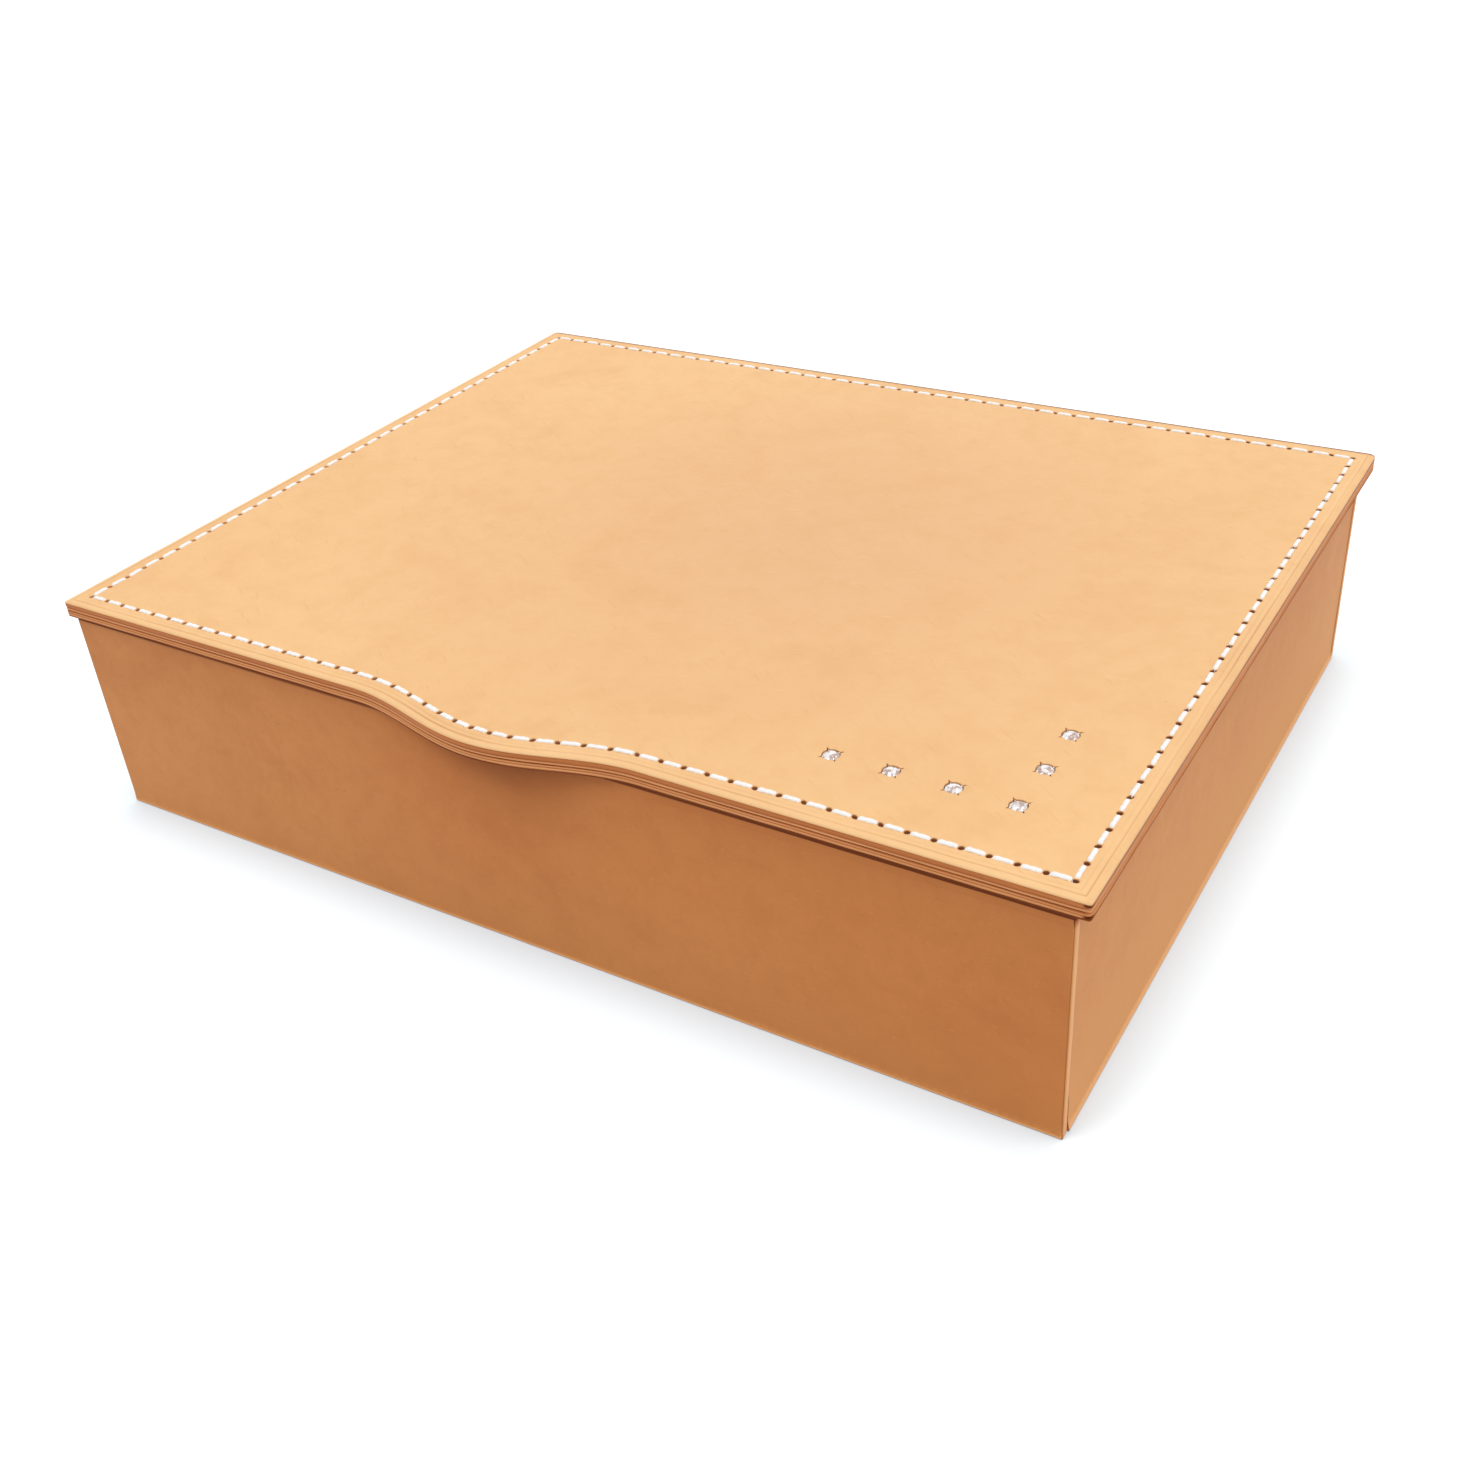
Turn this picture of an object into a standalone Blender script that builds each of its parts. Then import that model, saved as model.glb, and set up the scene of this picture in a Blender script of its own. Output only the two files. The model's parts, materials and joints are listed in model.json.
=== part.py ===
"""A leather jewelry box: clad walls, a hinged lid of two leather layers with a saddle-stitched seam,
six stones in claw settings, and a suede-lined inside with dividers and ring rolls.

Metres, +Z up. The box stands on z = 0 with its origin under the middle of the body, front towards -Y.
"""

import math

import bmesh
import bpy
from mathutils import Matrix, Vector

# Body
BODY_LENGTH = 0.239
BODY_DEPTH = 0.1862
BODY_HEIGHT = 0.0507
WALL_LEATHER = 0.0020
BASE_LEATHER = 0.0020
WALL_BOARD = 0.0046
BASE_BOARD = 0.0030
SUEDE = 0.0010
RIM_DROP = 0.0012
LEATHER_ROUNDING = 0.0007
BOARD_ROUNDING = 0.0003
SEAT_GAP = 0.0003

# Lid
LID_OVERHANG = 0.0025
FRONT_OVERHANG = 0.0003
TOP_LEATHER = 0.0022
UNDER_LEATHER = 0.0015
LAYER_GAP = 0.0003
LID_ROUNDING = 0.0006
PLAN_RADIUS = 0.0018
LIP_REACH = 0.0062
LIP_HALF_WIDTH = 0.0350
LINER_BOARD = 0.0015
LINER_CLEARANCE = 0.0010

# Seam
EDGE_MARGIN = 0.0045
SEAM_RADIUS = 0.0004
CHANNEL_WIDTH = 0.0016
CHANNEL_DEPTH = 0.0009
THREAD_WIDTH = 0.0010
THREAD_RISE = 0.00035
THREAD_THICKNESS = 0.0007
HOLE_DIP = 0.00045
FRONT_STITCHES = 47
SIDE_STITCHES = 35

# Stones
STONE_DIAMETER = 0.0034
STONE_SPACING = 0.0122
STONE_FRONT_INSET = 0.0153
STONE_SIDE_INSET = 0.0162
ROW_STONES = 4
COLUMN_STONES = 2
STONE_PROUD = 0.00010
STONE_CLEARANCE = 0.00012
SETTING_WALL = 0.0004
SETTING_FOOT = 0.0002
CLAW_RISE = 0.0005
CLAW_LEAN = 0.00025
SETTING_GAP = 0.0002

# Inside
DIVIDER = 0.0030
DIVIDER_HEIGHT = 0.0280
BACK_ROW_DEPTH = 0.0580
RING_ROW_LENGTH = 0.1080
BACK_SPLIT_X = 0.0300
RING_ROLLS = 6
ROLL_HEIGHT = 0.0190

# Hinges
HINGE_INSET = 0.0475
LEAF_WIDTH = 0.0240
LEAF_THICKNESS = 0.0008
LID_LEAF_REACH = 0.0085
BODY_LEAF_DROP = 0.0120
KNUCKLE_RADIUS = 0.0015
BORE_RADIUS = 0.0008
PIN_RADIUS = 0.00075
PIN_HEAD_RADIUS = 0.0011
PIN_HEAD = 0.0004
KNUCKLE_WIDTH = 0.0086
KNUCKLE_GAP = 0.0003
SCREW_SPREAD = 0.0140
SCREW_HEAD_RADIUS = 0.0014
SCREW_RADIUS = 0.0007
BODY_SCREW_LENGTH = 0.0048
LID_SCREW_LENGTH = 0.0034
SCREW_CLEARANCE = 0.0002
LID_SCREW_SETBACK = 0.0050
BODY_SCREW_DROP = 0.0085
CUT_OVERRUN = 0.0010

# Shape counts and shares
CORNER_STEPS = 3
LIP_STEPS = 26
ROUND_STEPS = 16
CLAWS = 4
ROLL_RINGS = 12
ROLL_SIDES = 14
TABLE_SHARE = 0.56
CROWN_SHARE = 0.17
PAVILION_SHARE = 0.38
STAR_SHARE = 0.80
STAR_HEIGHT_SHARE = 0.55
ROLL_FLAT_SHARE = 0.55
ROLL_SIDE_SHARE = 0.80
ROLL_END_SHARE = 0.45
ROLL_CROWN_SHARE = 0.06
LINER_ROUND_SHARE = 0.30
ROUNDING_LIMIT_SHARE = 0.33
DIVIDER_ROUND_SHARE = 0.33
SCREW_POINT_SHARE = 0.50

# Heights and planes that follow
RIM = BODY_HEIGHT
LID_UNDERSIDE = RIM + SEAT_GAP
TOP_UNDERSIDE = LID_UNDERSIDE + UNDER_LEATHER + LAYER_GAP
LID_TOP = TOP_UNDERSIDE + TOP_LEATHER
LID_LENGTH = BODY_LENGTH + LID_OVERHANG + LID_OVERHANG
LID_DEPTH = BODY_DEPTH + FRONT_OVERHANG + LID_OVERHANG
LID_FRONT = -BODY_DEPTH / 2 - FRONT_OVERHANG
LID_MIDDLE = LID_FRONT + LID_DEPTH / 2
BACK_FACE = BODY_DEPTH / 2
BOARD_FACE = WALL_LEATHER + SEAT_GAP
LINING_FACE = BOARD_FACE + WALL_BOARD + SEAT_GAP
INSIDE_FACE = LINING_FACE + SUEDE
INSIDE_LENGTH = BODY_LENGTH - INSIDE_FACE - INSIDE_FACE
INSIDE_DEPTH = BODY_DEPTH - INSIDE_FACE - INSIDE_FACE
BASE_BOARD_Z = BASE_LEATHER + SEAT_GAP
FLOOR_LINING_Z = BASE_BOARD_Z + BASE_BOARD + SEAT_GAP
FLOOR = FLOOR_LINING_Z + SUEDE
SETTING_DEPTH = STONE_DIAMETER * PAVILION_SHARE + SETTING_FOOT
AXIS_Y = BACK_FACE - LEAF_THICKNESS + KNUCKLE_RADIUS
AXIS_Z = LID_UNDERSIDE - SEAT_GAP - KNUCKLE_RADIUS
HINGE_X = BODY_LENGTH / 2 - HINGE_INSET
PIVOT = Vector((0, AXIS_Y, AXIS_Z))


def clear_scene():
    for obj in list(bpy.data.objects):
        bpy.data.objects.remove(obj, do_unlink=True)


def material(name, colour, roughness, metallic=0.0, transmission=0.0):
    made = bpy.data.materials.new(name)
    made.use_nodes = True
    made.diffuse_color = (*colour, 1)
    shader = made.node_tree.nodes["Principled BSDF"]
    shader.inputs["Base Color"].default_value = (*colour, 1)
    shader.inputs["Roughness"].default_value = roughness
    shader.inputs["Metallic"].default_value = metallic
    shader.inputs["Transmission Weight"].default_value = transmission
    return made


def make_materials():
    return {
        "leather": material("body_leather", (0.50, 0.21, 0.075), 0.55),
        "lid": material("lid_leather", (0.83, 0.52, 0.27), 0.50),
        "edge": material("under_leather", (0.46, 0.19, 0.07), 0.60),
        "suede": material("suede", (0.48, 0.33, 0.22), 0.95),
        "board": material("board", (0.55, 0.42, 0.28), 0.80),
        "thread": material("thread", (0.90, 0.88, 0.84), 0.70),
        "stone": material("stone", (0.95, 0.95, 0.97), 0.05, 0.0, 1.0),
        "silver": material("silver", (0.80, 0.79, 0.77), 0.25, 1.0),
        "brass": material("brass", (0.72, 0.53, 0.24), 0.32, 1.0),
    }


def new_object(name, mesh, finish=None):
    obj = bpy.data.objects.new(name, mesh)
    bpy.context.scene.collection.objects.link(obj)
    if finish:
        mesh.materials.append(finish)
    return obj


def mesh_from(name, bm):
    bmesh.ops.recalc_face_normals(bm, faces=bm.faces)
    mesh = bpy.data.meshes.new(name)
    bm.to_mesh(mesh)
    bm.free()
    return mesh


def cuboid(name, low, high, finish=None, rounding=0.0):
    """A box between two corners, with its origin at its middle."""
    low = Vector(low)
    high = Vector(high)
    size = high - low
    bm = bmesh.new()
    bmesh.ops.create_cube(bm, size=1)
    bmesh.ops.scale(bm, vec=size, verts=bm.verts)
    obj = new_object(name, mesh_from(name, bm), finish)
    obj.location = (low + high) / 2
    if rounding:
        bevel = obj.modifiers.new("rounding", "BEVEL")
        bevel.width = min(rounding, min(size) * ROUNDING_LIMIT_SHARE)
        bevel.segments = 2
        bevel.limit_method = "ANGLE"
    return obj


def turned_mesh(name, profile, steps=ROUND_STEPS):
    """Turns a profile of (radius, height) points about Z; a point of radius zero closes the end."""
    bm = bmesh.new()
    rings = []
    for radius, height in profile:
        if radius == 0:
            rings.append([bm.verts.new((0, 0, height))])
            continue
        turns = [2 * math.pi * k / steps for k in range(steps)]
        rings.append([bm.verts.new((radius * math.cos(a), radius * math.sin(a), height)) for a in turns])
    for lower, upper in zip(rings, rings[1:]):
        for k in range(steps):
            after = (k + 1) % steps
            corners = [lower[k % len(lower)], lower[after % len(lower)]]
            corners += [upper[after % len(upper)], upper[k % len(upper)]]
            bm.faces.new(list(dict.fromkeys(corners)))
    return mesh_from(name, bm)


def smooth(obj, angle=math.radians(40)):
    obj.data.shade_smooth()
    obj.data.set_sharp_from_angle(angle=angle)


def guide(obj):
    obj.hide_render = True
    obj.display_type = "WIRE"
    return obj


def combine(target, tool, operation="DIFFERENCE"):
    modifier = target.modifiers.new(tool.name, "BOOLEAN")
    modifier.operation = operation
    modifier.solver = "EXACT"
    modifier.object = guide(tool)


def hang_from(obj, pivot):
    """Parents an object to the lid's pivot, leaving it where it is."""
    obj.parent = pivot
    obj.location = obj.location - pivot.location
    return obj


def lip(x):
    """How far the front edge swells forward at x: one raised cosine in the middle."""
    if abs(x) >= LIP_HALF_WIDTH:
        return 0.0
    return LIP_REACH * (1 + math.cos(math.pi * x / LIP_HALF_WIDTH)) / 2


def lip_point(x, inset):
    """A point on the line that runs inside the swollen front edge at a constant distance."""
    slope = -LIP_REACH * math.pi / LIP_HALF_WIDTH / 2 * math.sin(math.pi * x / LIP_HALF_WIDTH)
    length = math.hypot(1, slope)
    return Vector((x + slope * inset / length, LID_FRONT - lip(x) + inset / length))


def corner_arc(sign_x, sign_y, inset, radius, first_angle):
    rounded = max(PLAN_RADIUS - inset, radius)
    reach_x = LID_LENGTH / 2 - inset - rounded
    reach_y = LID_DEPTH / 2 - inset - rounded
    centre = Vector((sign_x * reach_x, LID_MIDDLE + sign_y * reach_y))
    angles = [first_angle + math.pi / 2 * k / CORNER_STEPS for k in range(CORNER_STEPS + 1)]
    return [centre + rounded * Vector((math.cos(a), math.sin(a))) for a in angles]


def lid_outline(inset):
    """The lid's plan outline, counter-clockwise from the front left corner, moved in by inset."""
    right_angle = math.pi / 2
    points = corner_arc(-1, -1, inset, SEAM_RADIUS, math.pi)
    for k in range(LIP_STEPS + 1):
        points.append(lip_point(LIP_HALF_WIDTH * (2 * k / LIP_STEPS - 1), inset))
    points += corner_arc(1, -1, inset, SEAM_RADIUS, 3 * right_angle)
    points += corner_arc(1, 1, inset, SEAM_RADIUS, 0)
    points += corner_arc(-1, 1, inset, SEAM_RADIUS, right_angle)
    return points


def stacked_outlines(name, levels):
    """A solid whose skin runs through the lid's outline at each (inset, height) in turn."""
    bm = bmesh.new()
    loops = []
    for inset, height in levels:
        loops.append([bm.verts.new((p.x, p.y, height)) for p in lid_outline(inset)])
    for lower, upper in zip(loops, loops[1:]):
        for k in range(len(lower)):
            after = (k + 1) % len(lower)
            bm.faces.new((lower[k], lower[after], upper[after], upper[k]))
    bm.faces.new(loops[0])
    bm.faces.new(loops[-1])
    return mesh_from(name, bm)


def stone_places():
    """The stones' middles in plan: a row beside the front seam, and a column back from its last one."""
    corner_x = LID_LENGTH / 2 - EDGE_MARGIN - STONE_SIDE_INSET
    row_y = LID_FRONT + EDGE_MARGIN + STONE_FRONT_INSET
    row = [(corner_x - STONE_SPACING * k, row_y) for k in reversed(range(ROW_STONES))]
    column = [(corner_x, row_y + STONE_SPACING * (k + 1)) for k in range(COLUMN_STONES)]
    return row + column


def make_lid_leathers(finishes):
    channel_outer = EDGE_MARGIN - CHANNEL_WIDTH / 2
    channel_inner = EDGE_MARGIN + CHANNEL_WIDTH / 2
    channel_floor = LID_TOP - CHANNEL_DEPTH
    levels = [
        (LID_ROUNDING, TOP_UNDERSIDE),
        (0, TOP_UNDERSIDE + LID_ROUNDING),
        (0, LID_TOP - LID_ROUNDING),
        (LID_ROUNDING, LID_TOP),
        (channel_outer, LID_TOP),
        (channel_outer, channel_floor),
        (channel_inner, channel_floor),
        (channel_inner, LID_TOP),
    ]
    top = new_object("lid_top_leather", stacked_outlines("lid_top_leather", levels), finishes["lid"])
    under_top = LID_UNDERSIDE + UNDER_LEATHER
    chamfer = min(LID_ROUNDING, UNDER_LEATHER * ROUNDING_LIMIT_SHARE)
    levels = [
        (chamfer, LID_UNDERSIDE),
        (0, LID_UNDERSIDE + chamfer),
        (0, under_top - chamfer),
        (chamfer, under_top),
    ]
    under = new_object("lid_under_leather", stacked_outlines("lid_under_leather", levels), finishes["edge"])
    return top, under


def seam_line():
    """Points along the seam at every hole and at every stitch's middle, with a mark for each."""
    half_x = LID_LENGTH / 2 - EDGE_MARGIN
    half_y = LID_DEPTH / 2 - EDGE_MARGIN
    points = []
    for k in range(2 * FRONT_STITCHES):
        x = half_x * (k / FRONT_STITCHES - 1)
        swollen = abs(x) < LIP_HALF_WIDTH
        points.append((lip_point(x, EDGE_MARGIN) if swollen else Vector((x, LID_MIDDLE - half_y)), k % 2))
    for k in range(2 * SIDE_STITCHES):
        points.append((Vector((half_x, LID_MIDDLE + half_y * (k / SIDE_STITCHES - 1))), k % 2))
    for k in range(2 * FRONT_STITCHES):
        points.append((Vector((half_x * (1 - k / FRONT_STITCHES), LID_MIDDLE + half_y)), k % 2))
    for k in range(2 * SIDE_STITCHES):
        points.append((Vector((-half_x, LID_MIDDLE + half_y * (1 - k / SIDE_STITCHES))), k % 2))
    return points


def make_thread(finishes):
    """The stitching as one closed strand that rises over each stitch and dips at each hole."""
    line = seam_line()
    bm = bmesh.new()
    rings = []
    for k, (point, rising) in enumerate(line):
        along = line[(k + 1) % len(line)][0] - line[k - 1][0]
        side = Vector((along.y, -along.x)).normalized() * THREAD_WIDTH / 2
        crest = LID_TOP + (THREAD_RISE if rising else THREAD_RISE - HOLE_DIP)
        foot = crest - THREAD_THICKNESS
        waist = (crest + foot) / 2
        ring = [(point + side, waist), (point, crest), (point - side, waist), (point, foot)]
        rings.append([bm.verts.new((p.x, p.y, z)) for p, z in ring])
    for k, ring in enumerate(rings):
        following = rings[(k + 1) % len(rings)]
        for j in range(len(ring)):
            after = (j + 1) % len(ring)
            bm.faces.new((ring[j], ring[after], following[after], following[j]))
    thread = new_object("lid_seam_thread", mesh_from("lid_seam_thread", bm), finishes["thread"])
    thread.data.shade_smooth()
    return thread


def stone_mesh():
    """A round brilliant: table, crown, girdle and pavilion as the hull of its corner points."""
    radius = STONE_DIAMETER / 2
    crown = STONE_DIAMETER * CROWN_SHARE
    bm = bmesh.new()
    octagon = [math.pi / 4 * k for k in range(8)]
    for a in octagon:
        half_turn = a + math.pi / 8
        bm.verts.new((radius * TABLE_SHARE * math.cos(a), radius * TABLE_SHARE * math.sin(a), crown))
        star = radius * STAR_SHARE
        bm.verts.new((star * math.cos(half_turn), star * math.sin(half_turn), crown * STAR_HEIGHT_SHARE))
        bm.verts.new((radius * math.cos(a), radius * math.sin(a), 0))
        bm.verts.new((radius * math.cos(half_turn), radius * math.sin(half_turn), 0))
    bm.verts.new((0, 0, -STONE_DIAMETER * PAVILION_SHARE))
    bmesh.ops.convex_hull(bm, input=bm.verts)
    return mesh_from("stone", bm)


def setting_mesh():
    """A short tube that the stone sits in, with four claws raised from its upper edge."""
    inner = STONE_DIAMETER / 2 + STONE_CLEARANCE
    outer = inner + SETTING_WALL
    girdle_clear = STONE_CLEARANCE + STONE_CLEARANCE
    bm = bmesh.new()
    steps = CLAWS * 4
    angles = [2 * math.pi * k / steps for k in range(steps)]
    heights = [-SETTING_DEPTH, -girdle_clear]
    loops = []
    for radius, height in ((inner, heights[0]), (outer, heights[0]), (outer, heights[1]), (inner, heights[1])):
        loops.append([bm.verts.new((radius * math.cos(a), radius * math.sin(a), height)) for a in angles])
    upper_faces = []
    for j in range(4):
        first, second = loops[j], loops[(j + 1) % 4]
        for k in range(steps):
            after = (k + 1) % steps
            face = bm.faces.new((first[k], first[after], second[after], second[k]))
            if j == 2 and k % 4 == 0:
                upper_faces.append(face)
    claws = bmesh.ops.extrude_discrete_faces(bm, faces=upper_faces)["faces"]
    for claw in claws:
        inward = claw.calc_center_median()
        inward.z = 0
        inward.normalize()
        rise = Vector((0, 0, girdle_clear + CLAW_RISE)) - inward * CLAW_LEAN
        bmesh.ops.translate(bm, vec=rise, verts=list(claw.verts))
    return mesh_from("setting", bm)


def make_stones(top_leather, pivot, finishes):
    stone = stone_mesh()
    stone.materials.append(finishes["stone"])
    setting = setting_mesh()
    setting.materials.append(finishes["silver"])
    turn = math.pi / 4 - math.pi / CLAWS / 4
    girdle = LID_TOP + STONE_PROUD
    seat_radius = STONE_DIAMETER / 2 + STONE_CLEARANCE + SETTING_WALL + SETTING_GAP
    seat_floor = girdle - SETTING_DEPTH - SETTING_GAP
    pieces = []
    for k, (x, y) in enumerate(stone_places(), start=1):
        for name, mesh in ((f"stone_{k}", stone), (f"setting_{k}", setting)):
            obj = new_object(name, mesh)
            obj.location = (x, y, girdle)
            obj.rotation_euler.z = turn
            pieces.append(hang_from(obj, pivot))
        seat = turned_mesh(f"seat_{k}", column_profile(seat_radius, seat_floor, LID_TOP + CUT_OVERRUN))
        combine(top_leather, hang_from(place(new_object(f"seat_{k}", seat), x, y, 0), pivot))
    return pieces


def column_profile(radius, low, high):
    return [(0, low), (radius, low), (radius, high), (0, high)]


def place(obj, x, y, z):
    obj.location = (x, y, z)
    return obj


def aimed(obj, spot, turn):
    obj.location = spot
    obj.rotation_euler = turn
    return obj


def make_body_leathers(finishes):
    half_x = BODY_LENGTH / 2
    half_y = BODY_DEPTH / 2
    side_y = half_y - WALL_LEATHER - SEAT_GAP
    wall_in = half_y - WALL_LEATHER
    leather = finishes["leather"]
    pieces = {}
    boxes = {
        "front_leather": ((-half_x, -half_y, 0), (half_x, -wall_in, RIM)),
        "back_leather": ((-half_x, wall_in, 0), (half_x, half_y, RIM)),
        "left_leather": ((-half_x, -side_y, 0), (-half_x + WALL_LEATHER, side_y, RIM)),
        "right_leather": ((half_x - WALL_LEATHER, -side_y, 0), (half_x, side_y, RIM)),
        "base_leather": ((-half_x + BOARD_FACE, -side_y, 0), (half_x - BOARD_FACE, side_y, BASE_LEATHER)),
    }
    for name, (low, high) in boxes.items():
        pieces[name] = cuboid(name, low, high, leather, LEATHER_ROUNDING)
    return pieces


def frame_of_four(name, face, thickness, low_z, high_z, finish, rounding):
    """Four upright panels inside the body at a distance from its faces; the side ones stand between."""
    out_x = BODY_LENGTH / 2 - face
    out_y = BODY_DEPTH / 2 - face
    in_x = out_x - thickness
    in_y = out_y - thickness
    between = in_y - SEAT_GAP
    boxes = {
        f"front_{name}": ((-out_x, -out_y, low_z), (out_x, -in_y, high_z)),
        f"back_{name}": ((-out_x, in_y, low_z), (out_x, out_y, high_z)),
        f"left_{name}": ((-out_x, -between, low_z), (-in_x, between, high_z)),
        f"right_{name}": ((in_x, -between, low_z), (out_x, between, high_z)),
    }
    return {key: cuboid(key, low, high, finish, rounding) for key, (low, high) in boxes.items()}


def make_core(finishes):
    half_x = BODY_LENGTH / 2 - BOARD_FACE
    half_y = BODY_DEPTH / 2 - BOARD_FACE
    base_top = BASE_BOARD_Z + BASE_BOARD
    base = cuboid("base_board", (-half_x, -half_y, BASE_BOARD_Z), (half_x, half_y, base_top), finishes["board"])
    low_z = base_top + SEAT_GAP
    high_z = RIM - RIM_DROP
    walls = frame_of_four("board", BOARD_FACE, WALL_BOARD, low_z, high_z, finishes["board"], BOARD_ROUNDING)
    return {"base_board": base, **walls}


def make_linings(finishes):
    half_x = INSIDE_LENGTH / 2 - SEAT_GAP
    half_y = INSIDE_DEPTH / 2 - SEAT_GAP
    suede = finishes["suede"]
    cuboid("floor_lining", (-half_x, -half_y, FLOOR_LINING_Z), (half_x, half_y, FLOOR), suede, BOARD_ROUNDING)
    frame_of_four("lining", LINING_FACE, SUEDE, FLOOR_LINING_Z, RIM - RIM_DROP, suede, BOARD_ROUNDING)


def make_dividers(finishes):
    """The fixed partitions; returns the ring compartment's corners in plan."""
    half_x = INSIDE_LENGTH / 2
    half_y = INSIDE_DEPTH / 2
    low_z = FLOOR + SEAT_GAP
    high_z = low_z + DIVIDER_HEIGHT
    long_back = half_y - BACK_ROW_DEPTH
    long_front = long_back - DIVIDER
    ring_right = -half_x + RING_ROW_LENGTH
    side_left = ring_right + DIVIDER + SEAT_GAP
    side_y = (long_front - half_y) / 2
    boxes = {
        "long_divider": ((-half_x + SEAT_GAP, long_front, low_z), (half_x - SEAT_GAP, long_back, high_z)),
        "back_divider": (
            (BACK_SPLIT_X - DIVIDER / 2, long_back + SEAT_GAP, low_z),
            (BACK_SPLIT_X + DIVIDER / 2, half_y - SEAT_GAP, high_z),
        ),
        "ring_divider": (
            (ring_right, -half_y + SEAT_GAP, low_z),
            (ring_right + DIVIDER, long_front - SEAT_GAP, high_z),
        ),
        "side_divider": (
            (side_left, side_y - DIVIDER / 2, low_z),
            (half_x - SEAT_GAP, side_y + DIVIDER / 2, high_z),
        ),
    }
    for name, (low, high) in boxes.items():
        cuboid(name, low, high, finishes["suede"], DIVIDER * DIVIDER_ROUND_SHARE)
    return (-half_x, -half_y), (ring_right, long_front)


def signed_power(value, power):
    return math.copysign(abs(value) ** power, value)


def roll_mesh(length, width, height):
    """A padded roll along X: flat below, round above, its ends drawn in and its middle crowned."""
    bm = bmesh.new()
    rings = []
    for k in range(ROLL_RINGS + 1):
        t = math.cos(math.pi * k / ROLL_RINGS)
        full = math.sqrt(max(0, 1 - t**6)) if 0 < k < ROLL_RINGS else 0
        draw = ROLL_END_SHARE + (1 - ROLL_END_SHARE) * full
        lift = 1 + ROLL_CROWN_SHARE * (1 - t * t)
        ring = []
        for j in range(ROLL_SIDES):
            a = 2 * math.pi * (j + 0.5) / ROLL_SIDES
            y = width / 2 * draw * signed_power(math.cos(a), ROLL_SIDE_SHARE)
            z = math.sin(a)
            z = signed_power(z, ROLL_FLAT_SHARE) if z < 0 else z
            z = height / 2 * (1 + z * draw) / (1 + ROLL_CROWN_SHARE) * lift
            ring.append(bm.verts.new((length / 2 * t, y, z)))
        rings.append(ring)
    for first, second in zip(rings, rings[1:]):
        for j in range(ROLL_SIDES):
            after = (j + 1) % ROLL_SIDES
            bm.faces.new((first[j], first[after], second[after], second[j]))
    bm.faces.new(rings[0])
    bm.faces.new(rings[-1])
    return mesh_from("ring_roll", bm)


def make_ring_rolls(corner_low, corner_high, finishes):
    length = corner_high[0] - corner_low[0] - SEAT_GAP - SEAT_GAP
    depth = corner_high[1] - corner_low[1]
    pitch = (depth - SEAT_GAP) / RING_ROLLS
    mesh = roll_mesh(length, pitch - SEAT_GAP, ROLL_HEIGHT)
    mesh.materials.append(finishes["suede"])
    mesh.shade_smooth()
    for k in range(RING_ROLLS):
        roll = new_object(f"ring_roll_{k + 1}", mesh)
        roll.location.x = (corner_low[0] + corner_high[0]) / 2
        roll.location.y = corner_low[1] + SEAT_GAP / 2 + pitch * (k + 1 / 2)
        roll.location.z = FLOOR + SEAT_GAP


def make_lid_liner(finishes):
    """The stiff panel under the lid that drops into the mouth, and the suede over it."""
    half_x = INSIDE_LENGTH / 2 - LINER_CLEARANCE
    half_y = INSIDE_DEPTH / 2 - LINER_CLEARANCE
    board_top = LID_UNDERSIDE - SEAT_GAP
    board_low = board_top - LINER_BOARD
    suede_top = board_low - SEAT_GAP
    board = cuboid(
        "lid_liner_board", (-half_x, -half_y, board_low), (half_x, half_y, board_top), finishes["board"],
        BOARD_ROUNDING,
    )
    suede = cuboid(
        "lid_liner_suede", (-half_x, -half_y, suede_top - SUEDE), (half_x, half_y, suede_top),
        finishes["suede"], SUEDE * LINER_ROUND_SHARE,
    )
    return [board, suede]


def rod(name, radius, x_low, x_high):
    """A round bar along X on the hinge axis."""
    mesh = turned_mesh(name, column_profile(radius, x_low, x_high))
    mesh.transform(Matrix.Rotation(math.pi / 2, 4, "Y") @ Matrix.Rotation(math.pi / ROUND_STEPS, 4, "Z"))
    return place(new_object(name, mesh), 0, AXIS_Y, AXIS_Z)


def leaf_profile(reach):
    """A leaf seen along its axis: a plate towards -u, rolled at its end into a barrel round the axis."""
    inner_face = KNUCKLE_RADIUS - LEAF_THICKNESS
    start = math.pi - math.asin(inner_face / KNUCKLE_RADIUS)
    sweep = 5 * math.pi / 2 - start
    points = [(-reach, KNUCKLE_RADIUS), (-reach, inner_face)]
    for k in range(ROUND_STEPS + 1):
        angle = start + sweep * k / ROUND_STEPS
        points.append((KNUCKLE_RADIUS * math.cos(angle), KNUCKLE_RADIUS * math.sin(angle)))
    return points


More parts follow.
